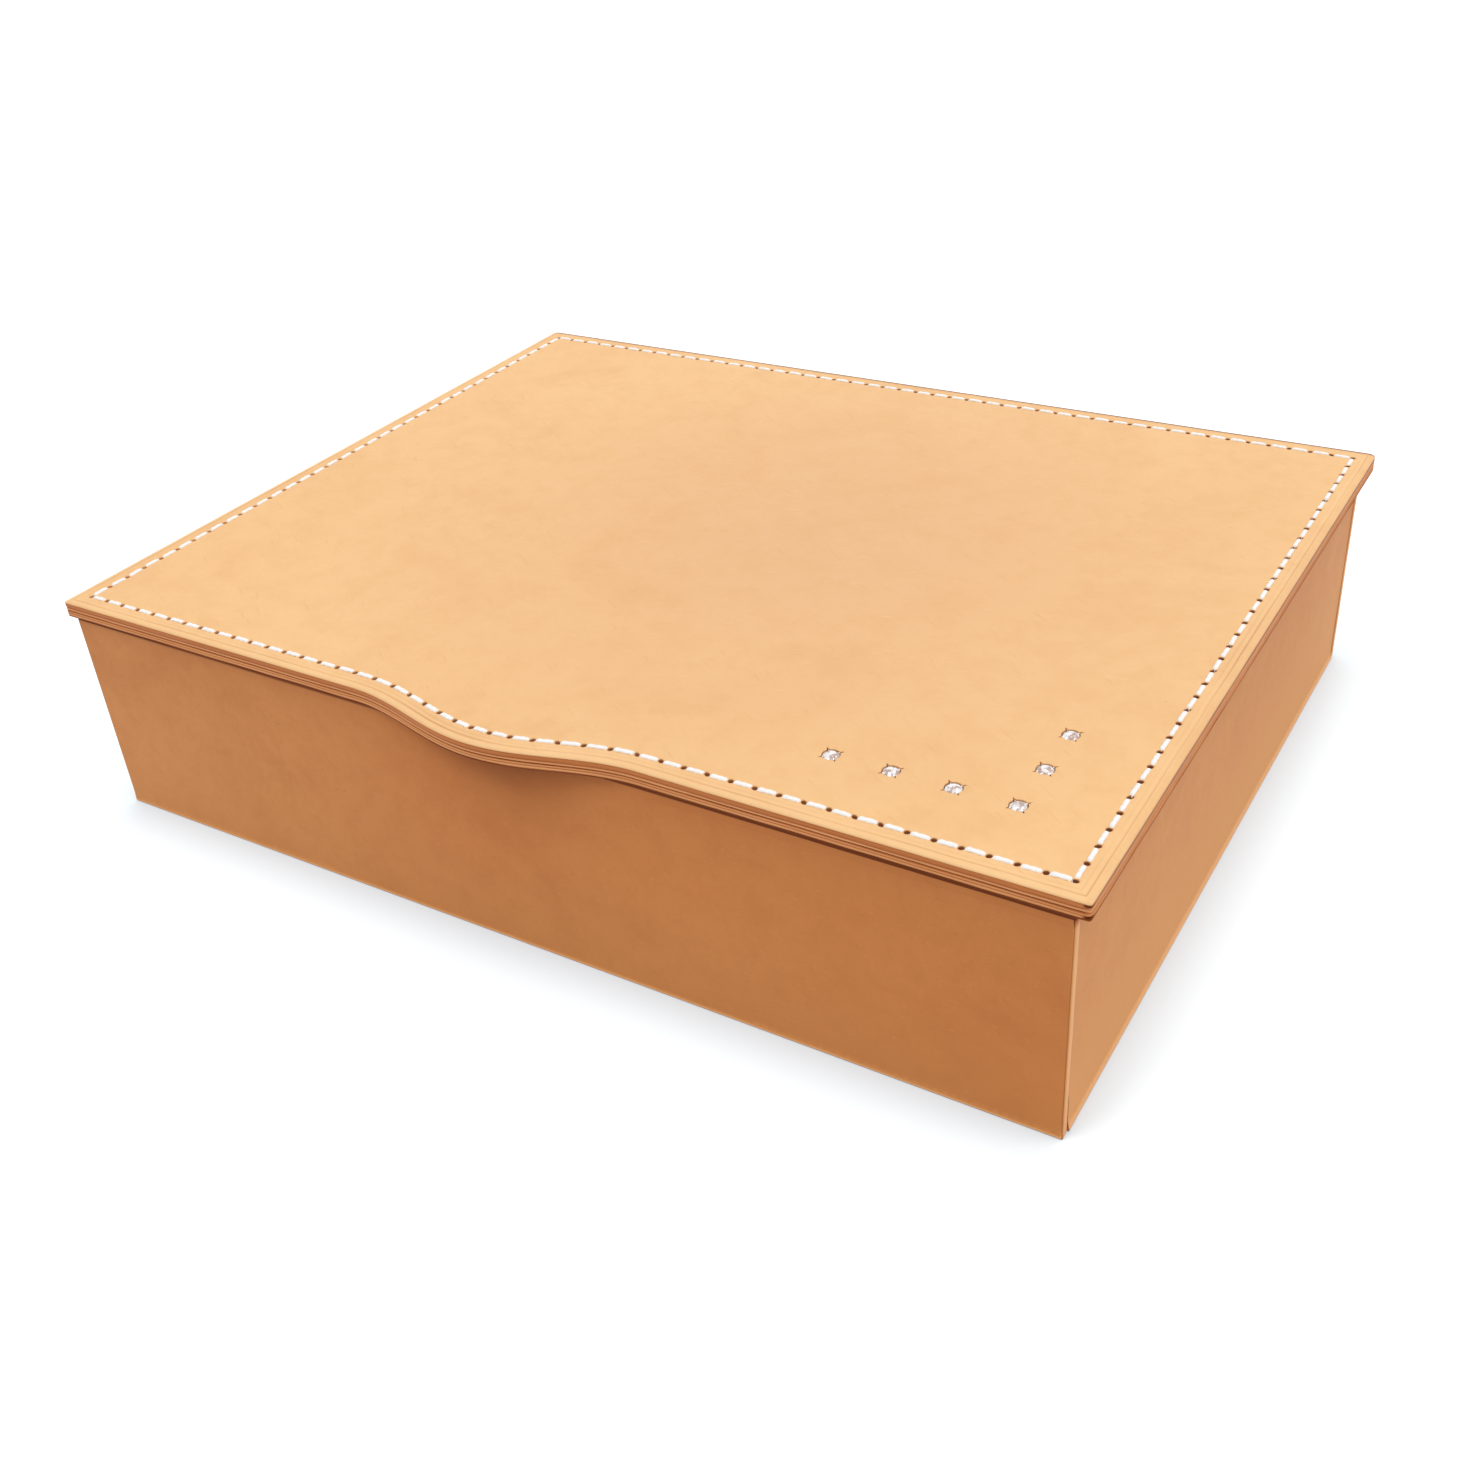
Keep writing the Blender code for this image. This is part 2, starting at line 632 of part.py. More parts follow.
def rolled_leaf(name, x, reach, turn, gaps, finish):
    """A hinge leaf on the axis at x; gaps are the stretches, from x, that the other leaf's barrels take."""
    half = LEAF_WIDTH / 2
    profile = leaf_profile(reach)
    bm = bmesh.new()
    ends = [[bm.verts.new((end, u, v)) for u, v in profile] for end in (-half, half)]
    for k in range(len(profile)):
        after = (k + 1) % len(profile)
        bm.faces.new((ends[0][k], ends[0][after], ends[1][after], ends[1][k]))
    bm.faces.new(ends[0])
    bm.faces.new(ends[1])
    leaf = aimed(new_object(name, mesh_from(name, bm), finish), (x, AXIS_Y, AXIS_Z), turn)
    clear = KNUCKLE_RADIUS + KNUCKLE_GAP
    for k, (low, high) in enumerate(gaps):
        cutter = cuboid(f"{name}_gap_{k}", (low, -clear, -clear), (high, clear, clear))
        spot = Vector((x + (low + high) / 2, AXIS_Y, AXIS_Z))
        combine(leaf, aimed(cutter, spot, turn))
    combine(leaf, rod(f"{name}_bore", BORE_RADIUS, x - half - CUT_OVERRUN, x + half + CUT_OVERRUN))
    return leaf


def screw_profile(length, extra=0.0):
    """A countersunk screw, its head's face at height zero and its point at -length."""
    head = SCREW_HEAD_RADIUS + extra
    shank = SCREW_RADIUS + extra
    neck = -LEAF_THICKNESS
    tip = -length - extra
    point = shank * SCREW_POINT_SHARE
    return [(0, tip), (point, tip), (shank, tip + point), (shank, neck), (head, 0), (0, 0)]


def drill_profile(length, extra):
    """The screw's own shape with a clearance, run on past its head's face."""
    profile = screw_profile(length, extra)[:-1]
    head = SCREW_HEAD_RADIUS + extra
    return profile + [(head, CUT_OVERRUN), (0, CUT_OVERRUN)]


def make_screws(side, where, spots, turn, length, targets, finishes):
    """Two screws in a leaf, each with its hole through what it fastens."""
    made = []
    for k, spot in enumerate(spots, start=1):
        name = f"hinge_{side}_{where}_screw_{k}"
        screw = new_object(name, turned_mesh(name, screw_profile(length), 12), finishes["brass"])
        smooth(screw)
        made.append(aimed(screw, spot, turn))
        for target in targets:
            hole = turned_mesh(f"{name}_hole", drill_profile(length, SCREW_CLEARANCE), 12)
            combine(target, aimed(new_object(f"{target.name}_hole_{side}_{k}", hole), spot, turn))
    return made


def make_lid_leaf(side, x, finishes, lid_leathers):
    """The leaf that lies under the lid, with the middle barrel."""
    low = AXIS_Z + KNUCKLE_RADIUS - LEAF_THICKNESS
    middle = KNUCKLE_WIDTH / 2
    beyond = LEAF_WIDTH / 2 + CUT_OVERRUN
    gaps = [(-beyond, -middle), (middle, beyond)]
    leaf = rolled_leaf(f"hinge_{side}_lid_leaf", x, LID_LEAF_REACH, (0, 0, 0), gaps, finishes["brass"])
    setback = BACK_FACE - LID_SCREW_SETBACK
    spots = [(x + sign * SCREW_SPREAD / 2, setback, low) for sign in (-1, 1)]
    turn = (math.pi, 0, 0)
    screws = make_screws(side, "lid", spots, turn, LID_SCREW_LENGTH, [leaf, *lid_leathers], finishes)
    return [leaf, *screws]


def make_body_leaf(side, x, finishes, back_leather, back_board):
    """The upright leaf let into the back wall, with the two outer barrels."""
    middle = KNUCKLE_WIDTH / 2 + KNUCKLE_GAP
    turn = (math.pi / 2, 0, 0)
    gaps = [(-middle, middle)]
    leaf = rolled_leaf(f"hinge_{side}_body_leaf", x, BODY_LEAF_DROP, turn, gaps, finishes["brass"])
    spots = [(x + sign * SCREW_SPREAD / 2, BACK_FACE, AXIS_Z - BODY_SCREW_DROP) for sign in (-1, 1)]
    turn = (-math.pi / 2, 0, 0)
    targets = [leaf, back_leather, back_board]
    make_screws(side, "body", spots, turn, BODY_SCREW_LENGTH, targets, finishes)


def make_pin(side, x, finishes):
    """The hinge pin, with a flat head outside each end knuckle."""
    half = LEAF_WIDTH / 2 + KNUCKLE_GAP
    profile = [
        (0, -half - PIN_HEAD),
        (PIN_HEAD_RADIUS, -half - PIN_HEAD),
        (PIN_HEAD_RADIUS, -half),
        (PIN_RADIUS, -half),
        (PIN_RADIUS, half),
        (PIN_HEAD_RADIUS, half),
        (PIN_HEAD_RADIUS, half + PIN_HEAD),
        (0, half + PIN_HEAD),
    ]
    name = f"hinge_{side}_pin"
    mesh = turned_mesh(name, profile)
    mesh.transform(Matrix.Rotation(math.pi / 2, 4, "Y"))
    pin = place(new_object(name, mesh, finishes["brass"]), x, AXIS_Y, AXIS_Z)
    smooth(pin)


def cut_hinge_pocket(side, x, back_leather):
    """Lets the hinge into the back wall: a pocket in its face and a step in its rim."""
    half = LEAF_WIDTH / 2 + KNUCKLE_GAP + PIN_HEAD + SEAT_GAP
    floor_y = BACK_FACE - LEAF_THICKNESS - SEAT_GAP
    low_z = AXIS_Z - BODY_LEAF_DROP - SEAT_GAP
    over_y = BACK_FACE + CUT_OVERRUN
    over_z = RIM + CUT_OVERRUN
    combine(back_leather, cuboid(f"pocket_{side}", (x - half, floor_y, low_z), (x + half, over_y, over_z)))
    step_z = LID_UNDERSIDE - SEAT_GAP - LEAF_THICKNESS - SEAT_GAP
    step_y = BACK_FACE - WALL_LEATHER - CUT_OVERRUN
    combine(back_leather, cuboid(f"step_{side}", (x - half, step_y, step_z), (x + half, over_y, over_z)))


def make_hinges(lid_leathers, body, core, finishes):
    lid_pieces = []
    for side, x in (("left", -HINGE_X), ("right", HINGE_X)):
        cut_hinge_pocket(side, x, body["back_leather"])
        lid_pieces += make_lid_leaf(side, x, finishes, lid_leathers)
        make_body_leaf(side, x, finishes, body["back_leather"], core["back_board"])
        make_pin(side, x, finishes)
    return lid_pieces


def main():
    clear_scene()
    finishes = make_materials()
    pivot = bpy.data.objects.new("lid_pivot", None)
    bpy.context.scene.collection.objects.link(pivot)
    pivot.location = PIVOT

    body = make_body_leathers(finishes)
    core = make_core(finishes)
    make_linings(finishes)
    ring_corners = make_dividers(finishes)
    make_ring_rolls(*ring_corners, finishes)

    leathers = make_lid_leathers(finishes)
    lid_pieces = [*leathers, make_thread(finishes), *make_lid_liner(finishes)]
    lid_pieces += make_hinges(leathers, body, core, finishes)
    for piece in lid_pieces:
        hang_from(piece, pivot)
    make_stones(leathers[0], pivot, finishes)


main()
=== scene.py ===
"""The looks of the leather jewelry box: vegetable-tanned leather with saddle stitching, stones in claw
settings, a suede-covered inside and brass hinges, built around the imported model.

Metres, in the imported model's own frame: +Z up, front towards -Y, standing on z = 0.
"""

import json
import math
import random
from collections import namedtuple
from functools import partial

import bmesh
import bpy
from mathutils import Matrix, Vector, geometry, kdtree, noise

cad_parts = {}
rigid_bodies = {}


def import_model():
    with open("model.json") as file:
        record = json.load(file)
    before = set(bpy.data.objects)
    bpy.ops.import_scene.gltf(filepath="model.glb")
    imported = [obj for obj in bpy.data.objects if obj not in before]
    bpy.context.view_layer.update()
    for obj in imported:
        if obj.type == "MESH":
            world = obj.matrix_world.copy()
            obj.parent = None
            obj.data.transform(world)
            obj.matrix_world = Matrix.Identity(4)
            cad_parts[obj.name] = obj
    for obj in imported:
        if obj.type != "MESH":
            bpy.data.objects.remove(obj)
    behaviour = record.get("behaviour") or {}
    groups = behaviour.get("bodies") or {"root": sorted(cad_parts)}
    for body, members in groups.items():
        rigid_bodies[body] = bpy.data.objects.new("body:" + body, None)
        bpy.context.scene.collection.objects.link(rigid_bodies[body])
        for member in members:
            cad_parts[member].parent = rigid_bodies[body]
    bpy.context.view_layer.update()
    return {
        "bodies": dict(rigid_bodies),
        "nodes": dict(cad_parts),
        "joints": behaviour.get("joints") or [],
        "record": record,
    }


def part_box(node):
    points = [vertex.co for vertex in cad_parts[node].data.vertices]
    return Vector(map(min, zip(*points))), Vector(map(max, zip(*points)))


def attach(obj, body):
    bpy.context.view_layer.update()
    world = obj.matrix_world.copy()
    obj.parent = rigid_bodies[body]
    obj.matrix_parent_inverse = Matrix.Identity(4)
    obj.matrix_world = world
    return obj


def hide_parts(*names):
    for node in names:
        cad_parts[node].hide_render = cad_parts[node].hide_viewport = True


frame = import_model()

# Places read from the frame
TOP_LOW, TOP_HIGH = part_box("lid_top_leather")
UNDER_LOW, UNDER_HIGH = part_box("lid_under_leather")
FRONT_LOW, FRONT_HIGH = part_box("front_leather")
LID_TOP = TOP_HIGH.z
LID_HALF_X = TOP_HIGH.x
LIP_REACH = 0.0062
LID_FRONT = TOP_LOW.y + LIP_REACH
LID_MIDDLE = (TOP_HIGH.y + LID_FRONT) / 2
LID_HALF_Y = (TOP_HIGH.y - LID_FRONT) / 2
LEATHER_SEAM = (TOP_LOW.z + UNDER_HIGH.z) / 2
BODY_HALF_X = FRONT_HIGH.x
BODY_HALF_Y = -FRONT_LOW.y
RIM = FRONT_HIGH.z
WALL = FRONT_HIGH.y - FRONT_LOW.y

# Lid outline and edge
LIP_HALF_WIDTH = 0.0350
PLAN_RADIUS = 0.0006
BACK_RADIUS = 0.0018
SEAM_RADIUS = 0.0003
EDGE_STEP = 0.0011
GROOVE_DEPTH = 0.00034
GROOVE_WANDER = 0.00020
BEVEL_WIDTH = 0.0010
BEVEL_DROP = 0.00055
BEVEL_STEPS = 5
# Painted highlight along the lid's rounded upper edge
BEVEL_HIGHLIGHT_TONE = -0.35
BORDER_LINES = (
    (0.0013, -0.10, 0.00004), (0.0016, 0.32, 0.00015), (0.0019, -0.15, 0.00019),
    (0.0023, -0.25, 0.00019), (0.0027, 0.06, 0.00012), (0.0032, -0.12, 0.00004),
)
STREAK_SWING = 0.16
STREAK_DEPTH = 0.00004
END_LAYERS = 0.80
# The burnished right end: painted shade lines along its top and its foot, paler between
END_SHADE_LINE_TONE = 0.68
END_MIDDLE_TONE = -0.12
# Little of the painted highlight on the bevel of the burnished right end
END_BEVEL_TONE = 0.05
END_TOP_LINE = 0.0009
END_FOOT_LINE = 0.0008
# Painted shadow of the gap, along the lid's lower edge
FOOT_EDGE_SHADOW_TONE = 0.95
# Painted shade line along the lid's back edge
BACK_SHADE_LINE_TONE = 1.0
BACK_SHADE_LINE_REACH = 0.0014
EDGE_UNEVEN = 0.5
TOP_SINK = 0.00010
PIT_REACH = 0.0007
PIT_DEPTH = 0.0010
PIT_HEIGHT = 0.00034
# Painted shade in the opened layers at the front right corner
PIT_SHADE_TONE = 2.0
SEAM_TONE = 0.9
BEVEL_CUT = 0.6
UNDERSIDE_RIM_TONE = 0.3
WANDER_LEAST = 0.35
TOP_GRID = 0.0040
UNDER_GRID = 0.0080

# Edge profiles, from below: share of the height, share of the groove's depth, tone; the tone paints shade
# into the grooves between the layers and highlight onto their ridges
TOP_EDGE = (
    (0.00, 1.00, 0.9), (0.05, 0.45, 0.4), (0.12, 0.10, -0.5), (0.22, 0.00, -0.7), (0.31, 0.15, -0.1),
    (0.37, 0.60, 0.7), (0.43, 0.20, 0.3), (0.60, 0.05, 0.15), (0.82, 0.10, 0.2), (0.93, 0.35, 0.5),
    (1.00, 0.45, 0.8),
)
UNDER_EDGE = (
    (0.00, 0.35, 0.85), (0.07, 0.12, 0.5), (0.16, 0.05, -0.3), (0.30, 0.00, -0.6), (0.43, 0.10, -0.4),
    (0.50, 0.50, 0.6), (0.58, 0.15, -0.1), (0.72, 0.00, -0.7), (0.82, 0.20, -0.1), (0.88, 0.55, 0.6),
    (0.94, 0.45, 0.3), (1.00, 1.20, 0.9),
)

# Seam
EDGE_MARGIN = 0.0045
FRONT_STITCHES = 47
SIDE_STITCHES = 35
THREAD_WIDTH = 0.00116
TIGHT_THREAD = 0.82
THREAD_HEIGHT = 0.00060
THREAD_RISE = 0.00032
THREAD_STEPS = 22
THREAD_SIDES = 12
THREAD_LAY = 0.9
THREAD_START = 0.00070
HOLE_LONG = 0.00054
HOLE_WIDE = 0.00055
HOLE_SLANT = 0.00016
HOLE_FADE = 0.30
HOLE_DEPTH = 0.0007
# Rings of a hole: share of its size, share of its depth, tone, which is partly painted shade
HOLE_RINGS = ((1.55, 0.00, 0.0), (1.18, 0.08, 0.25), (1.00, 0.26, 0.85), (0.78, 0.80, 1.0))
SEAM_SINK = 0.00012
SEAM_SINK_WIDTH = 0.0011
BED_ROWS = ((0, 1.0, 0.05), (0.55, 0.85, 0.05), (0.95, 0.3, 0.0), (1.5, 0, 0))
BED_CLEAR = HOLE_LONG * 1.9
BED_STEPS = 6
HOLE_POINTS = 14
SLANT_SWING = (-0.6, 1.6)
UNDER_THREAD_SIDES = 8
THREAD_LEVEL = 0.5
THREAD_DIP = 1.4
THREAD_LOBE = 0.07
STITCH_SHIFT = 0.00010
STITCH_LEAN = 0.00009
STITCH_DRAW = (-0.00005, 0.00003)
STITCH_WIDTHS = (0.94, 1.04)

# Stones
STONE_RADIUS = 0.00160
SEAT_SINK = 0.0012
SLIT_REACH = 0.00080
SLIT_HALF_ANGLE = math.radians(8)
SEAT_POINTS = 96
SEAT_CLEAR = 1.10
CLAW_WIRE = 0.00013
CLAW_CLEAR = 0.6
CLAW_SIDES = 10
CUP_STEPS = 32
STONE_RISE = -0.00042
STONE_TURN = 0.4
CLAW_LINE = (
    (1.02, -0.55, 1.0), (1.02, -0.10, 1.0), (1.00, 0.03, 1.0), (0.95, 0.10, 0.9), (0.89, 0.15, 0.7),
    (0.83, 0.19, 0.35),
)
CUP_LINE = ((0.55, -0.76), (1.05, -0.66), (1.05, -0.30), (0.99, -0.30), (0.55, -0.68))
# Seat rings: share of the opening, sink, tone; the tone darkens the slits and the seat as painted shade
SEAT_RINGS = ((1.10, 0.00001, 0.0), (1.0, 0.00006, 0.15), (0.95, SEAT_SINK, 0.8), (0.5, SEAT_SINK, 1.0))

# Shared
CREASE = math.radians(50)
QUARTER = math.pi / 2
CORNERS = ((-1, -1, 2 * QUARTER), (1, -1, 3 * QUARTER), (1, 1, 0), (-1, 1, QUARTER))
CORNER_STEPS = 5
PANEL_CORNER_STEPS = 4
SURFACE_WAVES = ((22, 4.0, 0.00007), (85, 9.0, 0.00003))
EDGE_WAVES = ((90, 1.0), (210, 1 / 3))
TONE_WAVES = 45
GRID_CLEAR = 0.0016


def circle(count):
    """Evenly spaced directions round a circle, as (cosine, sine)."""
    angles = [2 * math.pi * k / count for k in range(count)]
    return [(math.cos(a), math.sin(a)) for a in angles]


def arc(centre, radius, first, steps):
    """A quarter circle of points, counter-clockwise from the angle first."""
    angles = [first + QUARTER * k / steps for k in range(steps + 1)]
    return [centre + radius * Vector((math.cos(a), math.sin(a))) for a in angles]


def ripple(p, waves, seed):
    """A smooth random number for a place, between -1 and 1."""
    return noise.noise(Vector((p.x * waves, p.y * waves, seed)))


def heading(path, k):
    """The direction of a path at its point k."""
    return (path[min(k + 1, len(path) - 1)] - path[max(k - 1, 0)]).normalized()


def join_rings(bm, rings, capped=True):
    """Joins closed runs of points into a skin, and closes its two ends."""
    for first, second in zip(rings, rings[1:]):
        for k in range(len(first)):
            after = (k + 1) % len(first)
            bm.faces.new((first[k], first[after], second[after], second[k]))
    if capped:
        bm.faces.new(rings[0])
        bm.faces.new(rings[-1])


def finished(bm, name, matrix=None, crease=None, smooth=True):
    """The mesh of what was built, its faces turned outward; edges sharper than crease stay sharp."""
    bmesh.ops.recalc_face_normals(bm, faces=bm.faces)
    mesh = bpy.data.meshes.new(name)
    bm.to_mesh(mesh)
    bm.free()
    if matrix:
        mesh.transform(matrix)
    if smooth:
        mesh.shade_smooth()
    if crease:
        mesh.set_sharp_from_angle(angle=crease)
    return mesh


def add_object(name, data):
    obj = bpy.data.objects.new(name, data)
    bpy.context.scene.collection.objects.link(obj)
    return obj


def lip(x):
    """How far the front edge swells forward at x."""
    if abs(x) >= LIP_HALF_WIDTH:
        return 0.0
    return LIP_REACH * (1 + math.cos(math.pi * x / LIP_HALF_WIDTH)) / 2


def front_edge(x, inset):
    """A point of the lid's front edge, or of the line inside it at a constant distance."""
    inside = abs(x) < LIP_HALF_WIDTH
    turn = math.pi * x / LIP_HALF_WIDTH
    slope = -LIP_REACH * math.pi / LIP_HALF_WIDTH / 2 * math.sin(turn) if inside else 0.0
    length = math.hypot(1, slope)
    return Vector((x + slope * inset / length, LID_FRONT - lip(x) + inset / length))


def between(first, last, steps):
    """Evenly spaced points strictly between two others."""
    return [first.lerp(last, k / steps) for k in range(1, steps)]


def lid_corner(sign_x, sign_y, first, inset):
    """A rounded corner of the lid's outline, moved in by inset."""
    rounding = BACK_RADIUS if sign_y > 0 else PLAN_RADIUS
    radius = max(rounding - inset, SEAM_RADIUS)
    across = LID_HALF_X - inset - radius
    along = LID_HALF_Y - inset - radius
    return arc(Vector((sign_x * across, LID_MIDDLE + sign_y * along)), radius, first, CORNER_STEPS)


def lid_outline(inset):
    """The lid's plan outline, counter-clockwise from its front left corner, moved in by inset."""
    steps = [round(2 * half / EDGE_STEP) for half in (LID_HALF_X, LID_HALF_Y)]
    corners = [lid_corner(*corner, inset) for corner in CORNERS]
    reach = corners[1][0].x
    points = corners[0] + [front_edge(reach * (2 * k / steps[0] - 1), inset) for k in range(1, steps[0])]
    for k in (1, 2, 3):
        points += corners[k] + between(corners[k][-1], corners[(k + 1) % 4][0], steps[k % 2])
    return points


def rectangle_outline(low, high, radius, inset, step):
    """A rounded rectangle, counter-clockwise from its lower left corner, moved in by inset."""
    rounded = max(radius - inset, radius / 4)
    middle = (low + high) / 2
    reach = (high - low) / 2 - Vector((inset + rounded, inset + rounded))
    corners = []
    for sign_x, sign_y, first in CORNERS:
        centre = middle + Vector((sign_x * reach.x, sign_y * reach.y))
        corners.append(arc(centre, rounded, first, PANEL_CORNER_STEPS))
    points = []
    for k, corner in enumerate(corners):
        side = (high - low)[k % 2]
        points += corner + between(corner[-1], corners[(k + 1) % 4][0], round(side / step))
    return points


PIT_SPOT = Vector((LID_HALF_X, LID_FRONT))
PIT_LEVELS = (LID_TOP - 0.00095, UNDER_LOW.z + 0.00065)


class Plate:
    """A sheet of leather under construction, flat in its own x and y, with a tone for every point.

    Tone is above zero where the leather is darker, as in a hole, and below zero where it is paler; it carries
    painted shade and painted highlight as well as the leather's own dark lines and pale cut ends.
    """

    def __init__(self, outline):
        self.outline = outline
        self.bm = bmesh.new()
        self.tone = self.bm.verts.layers.float.new("tone")
        self.ply = self.bm.verts.layers.float.new("cut")
        self.loops = []

    def point(self, x, y, z, tone=0.0, cut=0.0):
        vert = self.bm.verts.new((x, y, z))
        vert[self.tone] = tone
        vert[self.ply] = cut
        return vert

    def level(self, inset, height, tone=0.0, cut=0.0, wander=0.0, seed=0.0, pit=0.0):
        """One turn of points along the outline; wander moves each point in or out unevenly, and a pit
        share of one opens the layers at the front right corner. Tone and cut are numbers or go by the
        place."""
        turn = []
        for p, q in zip(self.outline(inset), self.outline(inset + EDGE_STEP)):
            drift = wander * sum(share * ripple(p, waves, seed) for waves, share in EDGE_WAVES)
            near = pit * math.exp(-(((p - PIT_SPOT).length / PIT_REACH) ** 2))
            drift += PIT_DEPTH * near
            shade = (tone(p) if callable(tone) else tone) + PIT_SHADE_TONE * near
            part = cut(p) if callable(cut) else cut
            p = p + (q - p) / EDGE_STEP * drift
            turn.append(self.point(p.x, p.y, height, shade, part))
        self.loops.append(turn)

    def close(self):
        """Joins the turns into a skin and closes it below."""
        join_rings(self.bm, self.loops, False)
        self.bm.faces.new(self.loops[0])

    def fill(self, points, rings=()):
        """Fills the last turn with a skin through the points; rings are closed runs of points to keep."""
        rim = self.loops[-1]
        verts = list(rim)
        edges = [(k, (k + 1) % len(rim)) for k in range(len(rim))]
        for ring in rings:
            first = len(verts)
            verts += [self.point(*p) for p in ring]
            edges += [(first + k, first + (k + 1) % len(ring)) for k in range(len(ring))]
        verts += [self.point(*p) for p in points]
        flat = [Vector((v.co.x, v.co.y)) for v in verts]
        made = geometry.delaunay_2d_cdt(flat, edges, [], 1, 1e-7)
        source = [origin[0] if origin else None for origin in made[3]]
        for face in made[2]:
            corners = [verts[source[k]] for k in face if source[k] is not None]
            if len(corners) == 3:
                self.bm.faces.new(corners)
        loose = [v for v in self.bm.verts if not v.link_faces]
        bmesh.ops.delete(self.bm, geom=loose, context="VERTS")

    def mesh(self, name, matrix=None):
        return finished(self.bm, name, matrix, CREASE)


def add_piece(name, mesh, finish, body, slot, *nodes):
    """A finished piece that rides on a body and stands for the nodes named."""
    obj = add_object(name, mesh)
    mesh.materials.append(finish)
    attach(obj, body)
    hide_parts(*nodes)
    return obj


# Seam

def seam_holes():
    """Every hole of the seam in turn, as (place, direction along the seam)."""
    half_x = LID_HALF_X - EDGE_MARGIN
    half_y = LID_HALF_Y - EDGE_MARGIN
    places = [front_edge(half_x * (2 * k / FRONT_STITCHES - 1), EDGE_MARGIN) for k in range(FRONT_STITCHES)]
    back = LID_MIDDLE + half_y
    steps = [half_y * (2 * k / SIDE_STITCHES - 1) for k in range(SIDE_STITCHES)]
    places += [Vector((half_x, LID_MIDDLE + step)) for step in steps]
    places += [Vector((half_x * (1 - 2 * k / FRONT_STITCHES), back)) for k in range(FRONT_STITCHES)]
    places += [Vector((-half_x, LID_MIDDLE - step)) for step in steps]
    holes = []
    for k, place in enumerate(places):
        ahead = places[(k + 1) % len(places)] - place
        behind = place - places[k - 1]
        holes.append((place, (ahead + behind).normalized()))
    return holes


HOLES = seam_holes()


def stitch_runs():
    """Each stitch of the seam as (hole it leaves, hole it enters)."""
    return [(HOLES[k][0], HOLES[(k + 1) % len(HOLES)][0]) for k in range(len(HOLES))]


def surface(x, y):
    """The lid's upper surface, with the slight unevenness of glued leather."""
    swells = [swing * ripple(Vector((x, y)), waves, seed) for waves, seed, swing in SURFACE_WAVES]
    return LID_TOP - TOP_SINK + sum(swells)


def underside(x, y):
    """The lid's lower surface, level where the liner and the hinges lie on it."""
    return UNDER_LOW.z


def hole_rings(face, into):
    """The points of every slanted awl hole, as rings that go into the face, and its floor; into is the
    sign of the way in. The holes are darkened partly as pressed leather and partly by painted shade, most at
    the right.
    """
    rings = []
    floors = []
    chance = random.Random(5)
    for place, along in HOLES:
        side = Vector((-along.y, along.x))
        slant = HOLE_SLANT * chance.uniform(*SLANT_SWING)
        dark = 1 - HOLE_FADE * (1 - place.x / LID_HALF_X) / 2
        for share, sink, tone in HOLE_RINGS:
            ring = []
            for cosine, sine in circle(HOLE_POINTS):
                forward = HOLE_LONG * cosine - slant * sine
                p = place + (along * forward + side * (HOLE_WIDE * sine)) * share
                ring.append((p.x, p.y, face(p.x, p.y) + into * sink * HOLE_DEPTH, tone * dark))
            rings.append(ring)
        floors.append((place.x, place.y, face(place.x, place.y) + into * HOLE_DEPTH, dark))
    return rings, floors


def seam_bed(face, into):
    """Points along each stitch, where the thread has pressed into the leather."""
    points = []
    for first, last in stitch_runs():
        along = (last - first).normalized()
        side = Vector((-along.y, along.x))
        length = (last - first).length
        for k in range(BED_STEPS + 1):
            s = BED_CLEAR + (length - 2 * BED_CLEAR) * k / BED_STEPS
            for offset, sink, tone in BED_ROWS:
                for sign in ((1, -1) if offset else (1,)):
                    p = first + along * s + side * (sign * offset * SEAM_SINK_WIDTH / 2)
                    points.append((p.x, p.y, face(p.x, p.y) + into * SEAM_SINK * sink, tone))
    return points


def stone_places():
    """The stones' girdle middles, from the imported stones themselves."""
    places = []
    for k in range(1, 7):
        low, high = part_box(f"stone_{k}")
        places.append(Vector(((low.x + high.x) / 2, (low.y + high.y) / 2)))
    return places


def seat_rings(upper):
    """The openings that the stones look out of: round, with a pointed slit for each claw."""
    rings = []
    for place in stone_places():
        for share, sink, tone in SEAT_RINGS:
            ring = []
            for k in range(SEAT_POINTS):
                a = 2 * math.pi * k / SEAT_POINTS
                nearest = abs(a % QUARTER - QUARTER / 2)
                point = max(0.0, 1 - nearest / SLIT_HALF_ANGLE)
                radius = (STONE_RADIUS * SEAT_CLEAR + SLIT_REACH * point) * share
                p = place + Vector((math.cos(a), math.sin(a))) * radius
                ring.append((p.x, p.y, upper(p.x, p.y) - sink, tone))
            rings.append(ring)
    return rings


def grid_inside(outline, step, avoid, clear):
    """A staggered grid of places inside an outline, clear of the places to avoid."""
    low = Vector((min(p.x for p in outline), min(p.y for p in outline)))
    high = Vector((max(p.x for p in outline), max(p.y for p in outline)))
    tree = kdtree.KDTree(len(avoid) + len(outline))
    for k, p in enumerate(avoid):
        tree.insert((p[0], p[1], 0), k)
    for k, p in enumerate(outline):
        tree.insert((p.x, p.y, 0), k)
    tree.balance()
    places = []
    rows = int((high.y - low.y) / step)
    columns = int((high.x - low.x) / step)
    for j in range(1, rows):
        for i in range(1, columns):
            p = low + Vector(((i + (j % 2) / 2) * step, j * step))
            if tree.find((p.x, p.y, 0))[2] > clear and inside(p, outline):
                places.append(p)
    return places


